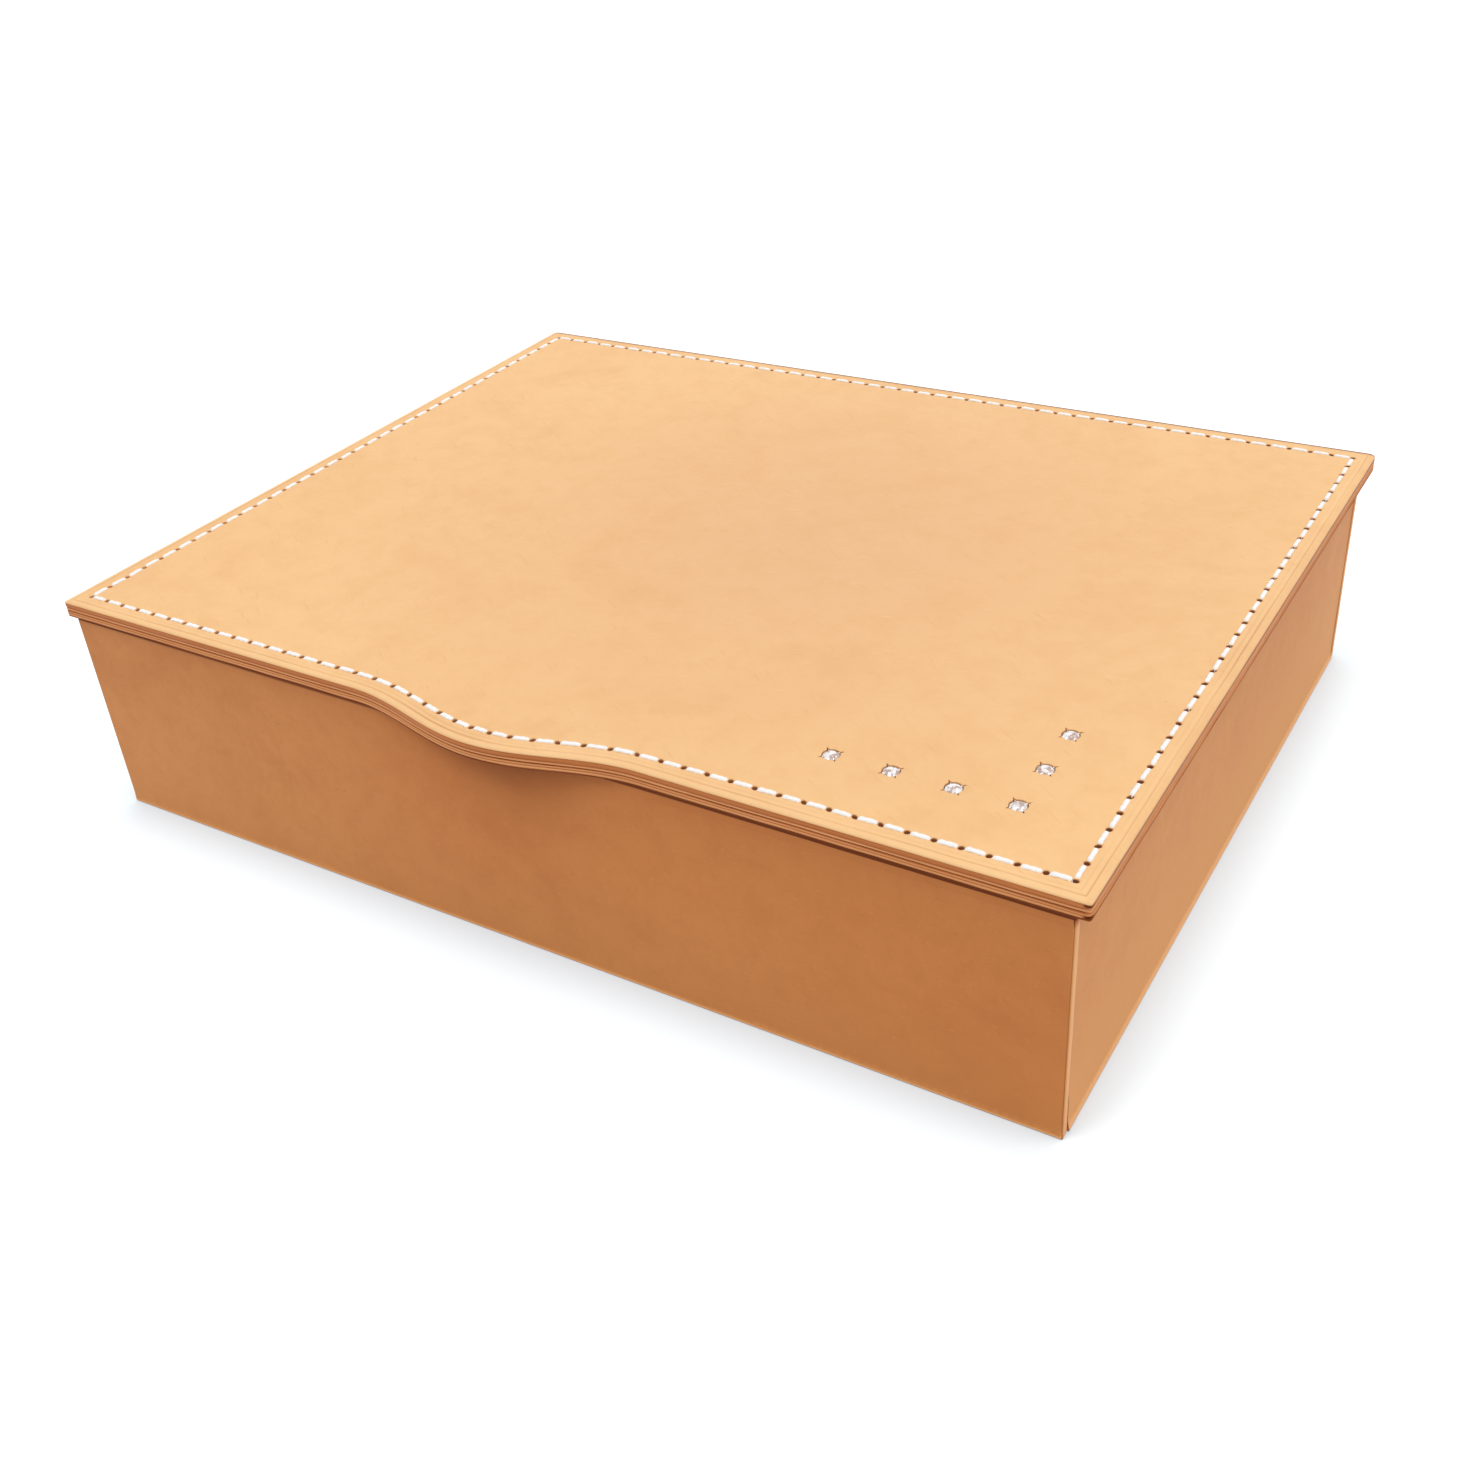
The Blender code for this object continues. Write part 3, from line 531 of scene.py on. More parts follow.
def inside(p, outline):
    """Whether a place lies inside a closed outline."""
    odd = False
    for first, last in zip(outline, outline[1:] + outline[:1]):
        if (first.y > p.y) != (last.y > p.y):
            if p.x < (last.x - first.x) * (p.y - first.y) / (last.y - first.y) + first.x:
                odd = not odd
    return odd


def uneven(tone, swing, seed):
    """A tone that comes and goes along an edge."""
    return lambda p: tone + swing * ripple(p, TONE_WAVES, seed)


def at_end(p):
    """Whether a place lies on the lid's right end, which is burnished smooth."""
    return p.x > LID_HALF_X - EDGE_STEP


def layers_shown(p):
    """How much of the edge's layers shows."""
    return END_LAYERS if at_end(p) else 1.0


def end_shade(height):
    """The tone of the burnished end: painted shade as a brown line along its top and another along its foot.
    """
    below = LID_TOP - BEVEL_DROP - height
    above = height - UNDER_LOW.z
    return END_SHADE_LINE_TONE if below < END_TOP_LINE or above < END_FOOT_LINE else END_MIDDLE_TONE


def edge_shade(tone, end, p):
    """A tone of the layers, or that of the burnished end."""
    return end if at_end(p) else tone(p)


def bevel_shade(p):
    """The lid's upper edge is pale as painted highlight, but for a painted shade line along its back and its
    burnished end.
    """
    if p.y > TOP_HIGH.y - BACK_SHADE_LINE_REACH:
        return BACK_SHADE_LINE_TONE
    return END_BEVEL_TONE if at_end(p) else BEVEL_HIGHLIGHT_TONE


def edge_levels(plate, low, high, profile, seed):
    """The rounded edges of a leather's layers, with the grooves between them."""
    for k, (height_share, inset_share, tone) in enumerate(profile):
        wander = GROOVE_WANDER * (WANDER_LEAST + inset_share)
        height = low + (high - low) * height_share
        pit = max(math.exp(-(((height - middle) / PIT_HEIGHT) ** 2)) for middle in PIT_LEVELS)
        whole = uneven(tone, EDGE_UNEVEN * abs(tone), seed + k)
        shade = partial(edge_shade, whole, end_shade(height))
        plate.level(GROOVE_DEPTH * inset_share, height, shade, layers_shown, wander, seed + k / 8, pit)


def fill_lid(plate, face, into, rim, step, openings=()):
    """Fills a face of the lid round the seam's holes, the beds of its stitches and the openings."""
    rings, points = hole_rings(face, into)
    points += seam_bed(face, into)
    rings += openings
    avoid = points + [p for ring in rings for p in ring]
    for place in grid_inside(lid_outline(rim), step, avoid, GRID_CLEAR):
        points.append((place.x, place.y, face(place.x, place.y), 0.0))
    plate.fill(points, rings)


def make_lid_top(finish):
    plate = Plate(lid_outline)
    plate.level(GROOVE_DEPTH * 3, LEATHER_SEAM, SEAM_TONE, 1.0)
    edge_levels(plate, LEATHER_SEAM, LID_TOP - BEVEL_DROP, TOP_EDGE, 3.0)
    settled = LID_TOP - TOP_SINK
    for k in range(BEVEL_STEPS + 1):
        a = QUARTER * k / BEVEL_STEPS
        inset = BEVEL_WIDTH * (1 - math.cos(a))
        height = settled - (BEVEL_DROP - TOP_SINK) * (1 - math.sin(a))
        cut = 0.0 if k else BEVEL_CUT
        plate.level(inset, height, bevel_shade, cut, GROOVE_WANDER / 5, 5.0)
    for k, (inset, tone, wander) in enumerate(BORDER_LINES):
        sink = STREAK_DEPTH * (k % 2)
        shade = uneven(tone, STREAK_SWING + abs(tone) / 2, 45.0)
        plate.level(inset, settled - sink, shade, 0.0, wander, 5.0)
    plate.close()
    fill_lid(plate, surface, -1, BORDER_LINES[-1][0], TOP_GRID, seat_rings(surface))
    add_piece("lid_top", plate.mesh("lid_top"), finish, "lid", "lid_leather", "lid_top_leather")


def make_lid_under(finish):
    plate = Plate(lid_outline)
    bevel = GROOVE_DEPTH
    low = UNDER_LOW.z
    plate.level(GROOVE_DEPTH * 3, LEATHER_SEAM, SEAM_TONE, 1.0)
    edge_levels(plate, low + bevel, LEATHER_SEAM, UNDER_EDGE[::-1], 13.0)
    shade = partial(edge_shade, lambda p: FOOT_EDGE_SHADOW_TONE, END_SHADE_LINE_TONE)
    for k in (3, 2, 1):
        a = QUARTER * k / 4
        inset = bevel * (1 - math.sin(a))
        plate.level(inset, low + bevel * (1 - math.cos(a)), shade, 1.0, GROOVE_WANDER / 3, 11.0)
    plate.level(BEVEL_WIDTH, low, UNDERSIDE_RIM_TONE)
    plate.close()
    fill_lid(plate, underside, 1, BEVEL_WIDTH, UNDER_GRID)
    add_piece("lid_under", plate.mesh("lid_under"), finish, "lid", "under_leather", "lid_under_leather")


def thread_path(first, last, level, sign, draw):
    """A stitch's line: up out of one hole, over the leather and down into the next."""
    along = (last - first).normalized()
    rise = THREAD_RISE - THREAD_HEIGHT / 2 + draw
    flat = (last - first).length / 2 - THREAD_START - THREAD_HEIGHT
    points = []
    for k in range(THREAD_STEPS + 1):
        t = 2 * k / THREAD_STEPS - 1
        reach = flat * min(1.0, abs(t) / THREAD_LEVEL)
        drop = max(0.0, (abs(t) - THREAD_LEVEL) / (1 - THREAD_LEVEL)) * QUARTER
        p = (first + last) / 2 + along * math.copysign(reach + THREAD_HEIGHT * math.sin(drop), t)
        sink = THREAD_HEIGHT * THREAD_DIP * (1 - math.cos(drop))
        points.append(Vector((p.x, p.y, level + sign * (rise - sink))))
    return points


def sweep(bm, path, width, twist, sides):
    """A closed thread along a path: two strands laid together, flattened against the leather."""
    rings = []
    for k, p in enumerate(path):
        along = heading(path, k)
        side = along.cross(Vector((0, 0, 1))).normalized()
        up = side.cross(along)
        ring = []
        for j in range(sides):
            a = 2 * math.pi * j / sides
            lobe = 1 + THREAD_LOBE * math.cos(2 * a - twist * k)
            across = side * (width / 2 * lobe * math.cos(a))
            ring.append(bm.verts.new(p + across + up * (THREAD_HEIGHT / 2 * lobe * math.sin(a))))
        rings.append(ring)
    join_rings(bm, rings)


def make_stitches(finish):
    """The saddle stitching, one thread over each run on both faces of the lid."""
    bm = bmesh.new()
    chance = random.Random(7)
    for first, last in stitch_runs():
        middle = (first + last) / 2
        side = Vector((-(last - first).y, (last - first).x)).normalized()
        shift = side * chance.uniform(-STITCH_SHIFT, STITCH_SHIFT)
        lean = side * chance.uniform(-STITCH_LEAN, STITCH_LEAN)
        draw = chance.uniform(*STITCH_DRAW)
        width = THREAD_WIDTH * chance.uniform(*STITCH_WIDTHS)
        if middle.x > LID_HALF_X - EDGE_MARGIN * 1.2:
            width *= TIGHT_THREAD
        level = surface(middle.x, middle.y)
        path = thread_path(first + shift + lean, last + shift - lean, level, 1, draw)
        sweep(bm, path, width, THREAD_LAY, THREAD_SIDES)
        path = thread_path(first + lean, last - lean, UNDER_LOW.z, -1, draw)
        sweep(bm, path[::2], width, 2 * THREAD_LAY, UNDER_THREAD_SIDES)
    mesh = finished(bm, "seam_stitches")
    add_piece("seam_stitches", mesh, finish, "lid", "thread", "lid_seam_thread")


# Stones

def gem_mesh():
    """A round brilliant cut as the hull of its corner points."""
    radius = STONE_RADIUS
    crown = radius * 0.34
    pavilion = radius * 0.76
    girdle = radius * 0.03
    bm = bmesh.new()
    for k in range(8):
        main = math.pi / 4 * k
        half = main + math.pi / 8
        rows = (
            (main, 0.56, crown),
            (half, 0.79, crown * 0.56),
            (half, 0.26, -pavilion * 0.80),
            (main, 1.0, girdle),
            (half, 1.0, girdle),
            (main, 1.0, -girdle),
            (half, 1.0, -girdle),
        )
        for angle, share, height in rows:
            bm.verts.new((radius * share * math.cos(angle), radius * share * math.sin(angle), height))
    bm.verts.new((0, 0, -pavilion))
    bmesh.ops.convex_hull(bm, input=bm.verts)
    return finished(bm, "gem", smooth=False)


def tube(bm, path, radii):
    """A closed round wire along a path, with a radius at each point."""
    rings = []
    side = heading(path, 0).orthogonal()
    for k, p in enumerate(path):
        along = heading(path, k)
        side = (side - along * side.dot(along)).normalized()
        other = along.cross(side)
        rings.append([bm.verts.new(p + (side * c + other * s) * radii[k]) for c, s in circle(CLAW_SIDES)])
    join_rings(bm, rings)


def turned(bm, profile, steps, closed=True):
    """Turns a profile of (radius, height) points about Z; a radius of zero closes an end."""
    loops = []
    for radius, height in profile:
        places = circle(steps) if radius else [(0, 0)]
        loops.append([bm.verts.new((radius * c, radius * s, height)) for c, s in places])
    following = loops[1:] + loops[:1] if closed else loops[1:]
    for first, second in zip(loops, following):
        for k in range(steps):
            after = (k + 1) % steps
            corners = [first[k % len(first)], first[after % len(first)]]
            corners += [second[after % len(second)], second[k % len(second)]]
            bm.faces.new(list(dict.fromkeys(corners)))


def claws_mesh():
    """A setting: a cup behind the stone and four thin claws bent low over its edge."""
    radius = STONE_RADIUS
    bm = bmesh.new()
    for claw in range(4):
        turn = QUARTER / 2 + QUARTER * claw
        out = Vector((math.cos(turn), math.sin(turn), 0))
        path = []
        for reach, height, _ in CLAW_LINE:
            path.append(out * (radius * reach + CLAW_WIRE * CLAW_CLEAR) + Vector((0, 0, radius * height)))
        tube(bm, path, [CLAW_WIRE * share for _, _, share in CLAW_LINE])
    turned(bm, [(radius * share, radius * height) for share, height in CUP_LINE], CUP_STEPS)
    return finished(bm, "claws", crease=CREASE)


def make_stones(finishes):
    gem = gem_mesh()
    claws = claws_mesh()
    for k, place in enumerate(stone_places(), start=1):
        spot = Matrix.Translation((place.x, place.y, LID_TOP + STONE_RISE))
        turn = spot @ Matrix.Rotation(STONE_TURN * k, 4, "Z")
        for name, source, matrix, slot, node in (
            ("gem", gem, turn, "stone", "stone"), ("claws", claws, spot, "silver", "setting"),
        ):
            mesh = source.copy()
            mesh.transform(matrix)
            add_piece(f"{name}_{k}", mesh, finishes[slot], "lid", slot, f"{node}_{k}")


# Body leathers

PANEL_RADIUS = 0.0003
PANEL_BEVEL = 0.00025
PANEL_STEP = 0.0020
PANEL_SAG = 0.00006
FADE = 0.008
BAND = 0.00042
BAND_REACH = BAND * 1.5
BACK_EDGE_TONE = 0.3
BAND_FADE = 0.00018
# Painted shadow of the gap under the lid, along the wall's rim and darker toward the right
RIM_SHADOW_TONE = 0.85
RIM_SHADOW_SWING = 0.35
# Painted shade just under the lid
UNDER_LID_SHADE = 0.30
UNDER_LID_REACH = 0.0032
STRIP_TONE = -0.50
CREASE_TONE = 0.12
# Painted shade down the wall from under the lid, and painted shadow under the lid's lip
WALL_TOP_SHADE = 0.15
WALL_TOP_REACH = 0.016
LIP_SHADE_REACH = 0.011
# Painted highlight on the burnished foot
FOOT_HIGHLIGHT_TONE = -0.9
FOOT_FLARE = 0.00018
FOOT_SWELL = 0.00030
# Painted contact shadow along the very foot
FOOT_SHADOW_LINE_TONE = 0.7
CORNER_TONE = 0.80
END_TONE = -0.95
END_CUT = 0.75
SEAM_GAP = 0.00005
SEAM_OPENING = 0.0004
SEAM_OPENING_REACH = 0.004
SEAM_OPENING_HEIGHT = 0.009
TOP_OPENING_HEIGHT = 0.024
STRIP_DROPS = (0.0006, 0.0012)
CREASE_DROP = 0.0015
PANEL_ROWS = (0.0009, 0.0012, 0.0015, 0.0018, 0.0026, 0.0040, 0.0056)
FOOT_ROWS = (0.0006, 0.0014)
PANEL_GRID = 0.0030
PANEL_WAVES = 30
WALL_BOX_STEP = 0.008

# Painted shade and marks of a wall: the tone of the dark joints down its ends, the painted light that pales
# it toward its foot, the height of its burnished foot band, painted as a highlight, and the painted shadow
# under the lip
WallShadeAndMarks = namedtuple("WallShadeAndMarks", "ends foot foot_band lip")
FRONT_SHADE_AND_MARKS = WallShadeAndMarks(ends=CORNER_TONE, foot=-0.30, foot_band=0.0, lip=0.85)
BACK_SHADE_AND_MARKS = WallShadeAndMarks(ends=CORNER_TONE, foot=-0.30, foot_band=0.0, lip=0.0)
SIDE_SHADE_AND_MARKS = WallShadeAndMarks(ends=0.0, foot=-1.0, foot_band=0.0014, lip=0.0)
WALL_SHADE_AND_MARKS = {"front": FRONT_SHADE_AND_MARKS, "right": SIDE_SHADE_AND_MARKS, "back": BACK_SHADE_AND_MARKS, "left": SIDE_SHADE_AND_MARKS}

# Each side's turn about Z and the way it faces
SIDES = {
    "front": (0, Vector((0, -1, 0))),
    "right": (QUARTER, Vector((1, 0, 0))),
    "back": (2 * QUARTER, Vector((0, 1, 0))),
    "left": (-QUARTER, Vector((-1, 0, 0))),
}


def panel_plate(width, height, thickness, seed, look):
    """A wall leather lying on its back: x along the wall, y up the wall, z out of it.

    It has painted shade under the lid and its lip and painted light that pales it toward the foot, with a
    pale line along the foot, painted as a highlight, and a painted contact shadow line at its very foot.
    """
    low = Vector((-width / 2, 0))
    high = Vector((width / 2, height))

    def toward_right(p):
        return p.x / width + 0.5

    # Painted shadow line along the rim, darker toward the right, and the foot's painted highlight
    def rim_or_foot(p, otherwise):
        if p.y > height - BAND_REACH:
            return RIM_SHADOW_TONE + RIM_SHADOW_SWING * (2 * toward_right(p) - 1)
        return FOOT_HIGHLIGHT_TONE if p.y < BAND_REACH else otherwise

    def band_tone(p):
        return rim_or_foot(p, 0.0)

    def corner_tone(p):
        if p.x > width / 2 - PANEL_RADIUS:
            return rim_or_foot(p, CORNER_TONE)
        return rim_or_foot(p, look.ends if p.y > SEAM_OPENING_HEIGHT else CORNER_TONE)

    def end_tone(p):
        return RIM_SHADOW_TONE if p.y > height - BAND else END_TONE

    def bevel_tone(p):
        """The part of the bevel that looks along the wall is as pale as the end."""
        # A painted contact shadow line at the foot
        if p.y < BAND:
            return FOOT_SHADOW_LINE_TONE
        return end_tone(p) if look.ends else corner_tone(p)

    def foot_cut(p):
        return 1.0 if p.y < BAND_REACH else 0.0

    def face_cut(p):
        return 1.0 if p.y < look.foot_band else 0.0

    def shadow_tone(p):
        """Below the rim's painted shadow line a paler strip and a fine crease, strongest at the right, and
        then painted shade under the lid and its lip, fading down the wall toward painted light at the foot,
        whose burnished band is a painted highlight."""
        drop = height - p.y
        shade = UNDER_LID_SHADE * math.exp(-drop / UNDER_LID_REACH)
        shade += WALL_TOP_SHADE * math.exp(-drop / WALL_TOP_REACH)
        shade += look.foot * (drop / height) ** 2
        shade += look.lip * lip(p.x) / LIP_REACH * math.exp(-drop / LIP_SHADE_REACH)
        if STRIP_DROPS[0] < drop - BAND + PANEL_RADIUS < STRIP_DROPS[1]:
            shade = STRIP_TONE * toward_right(p) ** 2
        if abs(drop - BAND - CREASE_DROP) < PANEL_RADIUS / 2:
            shade += CREASE_TONE * toward_right(p) ** 2
        if p.y < look.foot_band:
            return FOOT_HIGHLIGHT_TONE
        return FOOT_HIGHLIGHT_TONE / 2 if p.y < BAND + BAND_FADE * 2 else shade

    plate = Plate(lambda inset: rectangle_outline(low, high, PANEL_RADIUS, inset, PANEL_STEP))
    wander = PANEL_BEVEL / 4
    plate.level(PANEL_BEVEL, 0, BACK_EDGE_TONE)
    plate.level(0, PANEL_BEVEL, end_tone, END_CUT, wander, seed)
    plate.level(0, thickness / 2, end_tone, END_CUT, wander, seed)
    for k in range(BEVEL_STEPS + 1):
        a = QUARTER * k / BEVEL_STEPS
        inset = PANEL_BEVEL * (1 - math.cos(a))
        rise = PANEL_BEVEL * (1 - math.sin(a))
        tone = bevel_tone if k < BEVEL_STEPS else corner_tone
        cut = foot_cut if k > 1 else END_CUT
        plate.level(inset, thickness - rise, tone if k else end_tone, cut, wander / 2, seed)
    plate.level(BAND, thickness, band_tone, foot_cut, wander / 2, seed)
    plate.level(BAND + BAND_FADE, thickness - PANEL_SAG / 3, shadow_tone, face_cut, wander, seed)
    plate.close()
    points = []
    rim = rectangle_outline(low, high, PANEL_RADIUS, BAND + BAND_FADE, PANEL_STEP)
    low_row = FOOT_ROWS[-1] + PANEL_STEP
    high_row = height - PANEL_ROWS[-1] - PANEL_STEP
    grid = grid_inside(rim, PANEL_GRID, [], PANEL_GRID / 2)
    places = [p for p in grid if low_row < p.y < high_row]
    columns = round(width / PANEL_STEP)
    heights = [height - drop - BAND for drop in PANEL_ROWS] + [BAND + rise for rise in FOOT_ROWS]
    for y in heights:
        places += [Vector((width * (k / columns - 0.5), y)) for k in range(1, columns)]
    for p in places:
        swell = ripple(p, PANEL_WAVES, seed)
        fade = min(1.0, min(p.x - low.x, high.x - p.x, p.y - low.y, high.y - p.y) / FADE)
        z = thickness - PANEL_SAG * (1 - fade + fade * (1 + swell)) / 2
        points.append((p.x, p.y, z, shadow_tone(p), face_cut(p)))
    plate.fill(points)
    flare_foot(plate, thickness, look.foot_band)
    return plate


def flare_foot(plate, thickness, band):
    """Draws a wall's face back above its foot and swells the burnished band, so that it catches light."""
    for vert in plate.bm.verts:
        if vert.co.z > thickness - PANEL_BEVEL * 1.01:
            above = (vert.co.y - BAND) / BAND_FADE
            vert.co.z -= FOOT_FLARE * min(1.0, max(0.0, above))
            if band:
                vert.co.z += FOOT_SWELL * max(0.0, 1 - vert.co.y / band)


def open_seams(plate, width, height):
    """Draws the ends of a wall back a little where its glued seams have opened: at the foot of its left
    end and at the top of its right end."""
    for vert in plate.bm.verts:
        near = max(0.0, 1 - (vert.co.x + width / 2) / SEAM_OPENING_REACH)
        low = max(0.0, 1 - vert.co.y / SEAM_OPENING_HEIGHT)
        vert.co.x += SEAM_OPENING * near * math.sqrt(low)
        near = max(0.0, 1 - (width / 2 - vert.co.x) / SEAM_OPENING_REACH)
        high = max(0.0, 1 - (height - vert.co.y) / TOP_OPENING_HEIGHT)
        vert.co.x -= SEAM_OPENING * near * math.sqrt(high)


def wall_place(side, inward):
    """Where a wall's piece goes: x along the wall and y in from the line inward of its outer face."""
    turn, out = SIDES[side]
    reach = (BODY_HALF_X if out.x else BODY_HALF_Y) - inward
    return Matrix.Translation(out * reach) @ Matrix.Rotation(turn, 4, "Z")


def make_body(finishes):
    side_length = 2 * (BODY_HALF_Y - WALL - SEAM_GAP)
    for k, (side, look) in enumerate(WALL_SHADE_AND_MARKS.items()):
        width = side_length if look is SIDE_SHADE_AND_MARKS else 2 * BODY_HALF_X
        plate = panel_plate(width, RIM, WALL, 20.0 + k, look)
        if side == "right":
            open_seams(plate, width, RIM)
        mesh = plate.mesh(f"{side}_wall", wall_place(side, WALL) @ Matrix.Rotation(QUARTER, 4, "X"))
        if side == "back":
            mesh = with_pockets(mesh)
        # The front wall takes the painted shade copy of the body leather
        finish = finishes["front" if side == "front" else "body"]
        add_piece(f"{side}_wall", mesh, finish, "root", "body_leather", f"{side}_leather")
    place = ("base_skin", "base_leather", "root", "body_leather")
    add_soft_box(*place, finishes["body"], BASE_ROUNDING, WALL_BOX_STEP, BASE_ROUNDING / 2, 31.0)


def with_pockets(mesh):
    """The back wall with a pocket in its face and a step in its rim for each hinge."""
    wall = add_object("wall_blank", mesh)
    cutters = []
    far = (BODY_HALF_Y + WALL, RIM + WALL)
    step_z = HINGE_AXIS.z + KNUCKLE - LEAF - HINGE_CLEARANCE
    for side in ("left", "right"):
        low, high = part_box(f"hinge_{side}_pin")
        leaf_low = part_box(f"hinge_{side}_body_leaf")[0]
        corners = (
            (leaf_low.y - HINGE_CLEARANCE, leaf_low.z - HINGE_CLEARANCE),
            (BODY_HALF_Y - 2 * WALL, step_z),
        )
        for k, corner in enumerate(corners):
            name = f"cut_{side}_{k}"
            near = Vector((low.x - HINGE_CLEARANCE, *corner))
            other = Vector((high.x + HINGE_CLEARANCE, *far))
            cutter = add_object(name, soft_box(name, near, other, HINGE_CLEARANCE, WALL * 4))
            modifier = wall.modifiers.new(name, "BOOLEAN")
            modifier.operation = "DIFFERENCE"
            modifier.solver = "EXACT"
            modifier.object = cutter
            cutters.append(cutter)
    cut = bpy.data.meshes.new_from_object(wall.evaluated_get(bpy.context.evaluated_depsgraph_get()))
    cut.name = "back_wall"
    cut.shade_smooth()
    cut.set_sharp_from_angle(angle=CREASE)
    for obj in (wall, *cutters):
        bpy.data.objects.remove(obj)
    return cut


# Inside

BASE_ROUNDING = 0.0005
FLOOR_ROUNDING = 0.0004
BOARD_ROUNDING = 0.0004
BOARD_SAG = 0.00008
FLANGE_DROP = 0.0011
FLANGE = 0.0009
FOLD = 0.0011
FOLD_STEPS = 5
SUEDE_SOFTNESS = 0.00018
ROLL_RINGS = 84
ROLL_SIDES = 56
ROLL_END = 0.45
ROLL_FLAT_POWER = 0.55
ROLL_SIDE_POWER = 0.80
ROLL_CROWN = 0.06
PLEATS = 17
PLEAT_DEPTH = 0.06
ROLL_WRINKLE = 0.00022
ROLL_GATHER = 0.92
ROLL_TUCK = 0.012
ROLL_SLACK = 0.0005
ROLL_BED = 0.0010
ROLL_END_HOLD = 0.0012
ROLL_PRESSURE = 6.0
ROLL_SWELL = 0.0009
LINER_EDGE = 0.007
LINER_PRESSURE = 2.0
LINER_SWELL = 0.0012
CLOTH_SCALE = 8.0
CLOTH_FRAMES = 20
CLOTH_QUALITY = 6
BOARD_STEP = 0.010
SUEDE_ROUNDING = 0.0005
FLOOR_STEP = 0.006
DIVIDER_ROUNDING = 0.0013
SUEDE_STEP = 0.004
SOFT_WAVES = 60
GATHER_RINGS = 3


def soft_box(name, low, high, radius, step, sag=0.0, seed=0.0):
    """A box with rounded edges whose faces are drawn in unevenly, as wrapped board is."""
    rounding = [min(radius, (high[k] - low[k]) / 2) for k in range(3)]
    core_low = Vector([low[k] + rounding[k] for k in range(3)])
    core_high = Vector([high[k] - rounding[k] for k in range(3)])
    axes = []
    for k in range(3):
        span = high[k] - low[k]
        rounded = rounding[k]
        inner = span - 2 * rounded
        count = max(1, round(inner / step))
        spots = [0, rounded / 2] + [rounded + inner * j / count for j in range(count + 1)]
        spots += [span - rounded / 2, span]
        axes.append([low[k] + spot for spot in spots])
    bm = bmesh.new()
    verts = {}

    def vert(key):
        if key not in verts:
            p = Vector([axes[k][key[k]] for k in range(3)])
            core = Vector([min(max(p[k], core_low[k]), core_high[k]) for k in range(3)])
            out = (p - core).normalized()
            spot = Vector((p.x * SOFT_WAVES, p.y * SOFT_WAVES, p.z * SOFT_WAVES + seed))
            verts[key] = bm.verts.new(core + out * (radius - sag * (1 + noise.noise(spot)) / 2))
        return verts[key]

    last = [len(axis) - 1 for axis in axes]
    for k in range(3):
        u = (k + 1) % 3
        v = (k + 2) % 3
        for end in (0, last[k]):
            for i in range(last[u]):
                for j in range(last[v]):
                    corners = []
                    for di, dj in ((0, 0), (1, 0), (1, 1), (0, 1)):
                        key = [0, 0, 0]
                        key[k] = end
                        key[u] = i + di
                        key[v] = j + dj
                        corners.append(vert(tuple(key)))
                    bm.faces.new(corners)
    return finished(bm, name)


def add_soft_box(name, node, body, slot, finish, radius, step, sag, seed, lowered=0.0):
    """A soft_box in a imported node's place, with its top lowered if need be."""
    low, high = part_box(node)
    mesh = soft_box(name, low, high - Vector((0, 0, lowered)), radius, step, sag, seed)
    add_piece(name, mesh, finish, body, slot, node)


def make_boards(finish):
    """The stiff core: its walls end below the suede that is folded over them."""
    for side in ("front", "back", "left", "right"):
        place = (f"{side}_core", f"{side}_board", "root", "board", finish)
        add_soft_box(*place, BOARD_ROUNDING, WALL_BOX_STEP, BOARD_SAG, 3.0, FLANGE_DROP)
    place = ("base_core", "base_board", "root", "board", finish)
    add_soft_box(*place, BOARD_ROUNDING, BOARD_STEP, BOARD_SAG, 5.0)


def lining_profile():
    """The suede seen end on, as (distance in from the outer face, height): up, over and back down."""
    low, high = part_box("front_lining")
    inner = high.y + BODY_HALF_Y
    behind = low.y + BODY_HALF_Y
    top = high.z
    outer = WALL + HINGE_CLEARANCE
    points = [(inner, low.z + (top - FOLD - low.z) * k / 8) for k in range(9)]
    for k in range(1, FOLD_STEPS + 1):
        a = math.pi / 2 * k / FOLD_STEPS
        points.append((inner - FOLD + FOLD * math.cos(a), top - FOLD + FOLD * math.sin(a)))
    points += [(inner - FOLD - (inner - FOLD - outer) * k / 3, top) for k in range(1, 4)]
    points += [(outer, top - FLANGE), (behind, top - FLANGE), (behind, low.z)]
    return points


def lining_mesh(name, half_length, matrix, seed):
    """One wall's lining, mitred at both ends; x runs along the wall and y in from its outer face."""
    bm = bmesh.new()
    profile = lining_profile()
    steps = round(2 * half_length / SUEDE_STEP)
    rings = []
    for k in range(steps + 1):
        ring = []
        for d, z in profile:
            x = (half_length - d) * (2 * k / steps - 1)
            soft = SUEDE_SOFTNESS * noise.noise(Vector((x * 45, z * 60, seed)))
            ring.append(bm.verts.new((x, d + soft, z + (soft / 2 if z > WALL * 4 else 0))))
        rings.append(ring)
    join_rings(bm, rings)
    return finished(bm, name, matrix, CREASE)


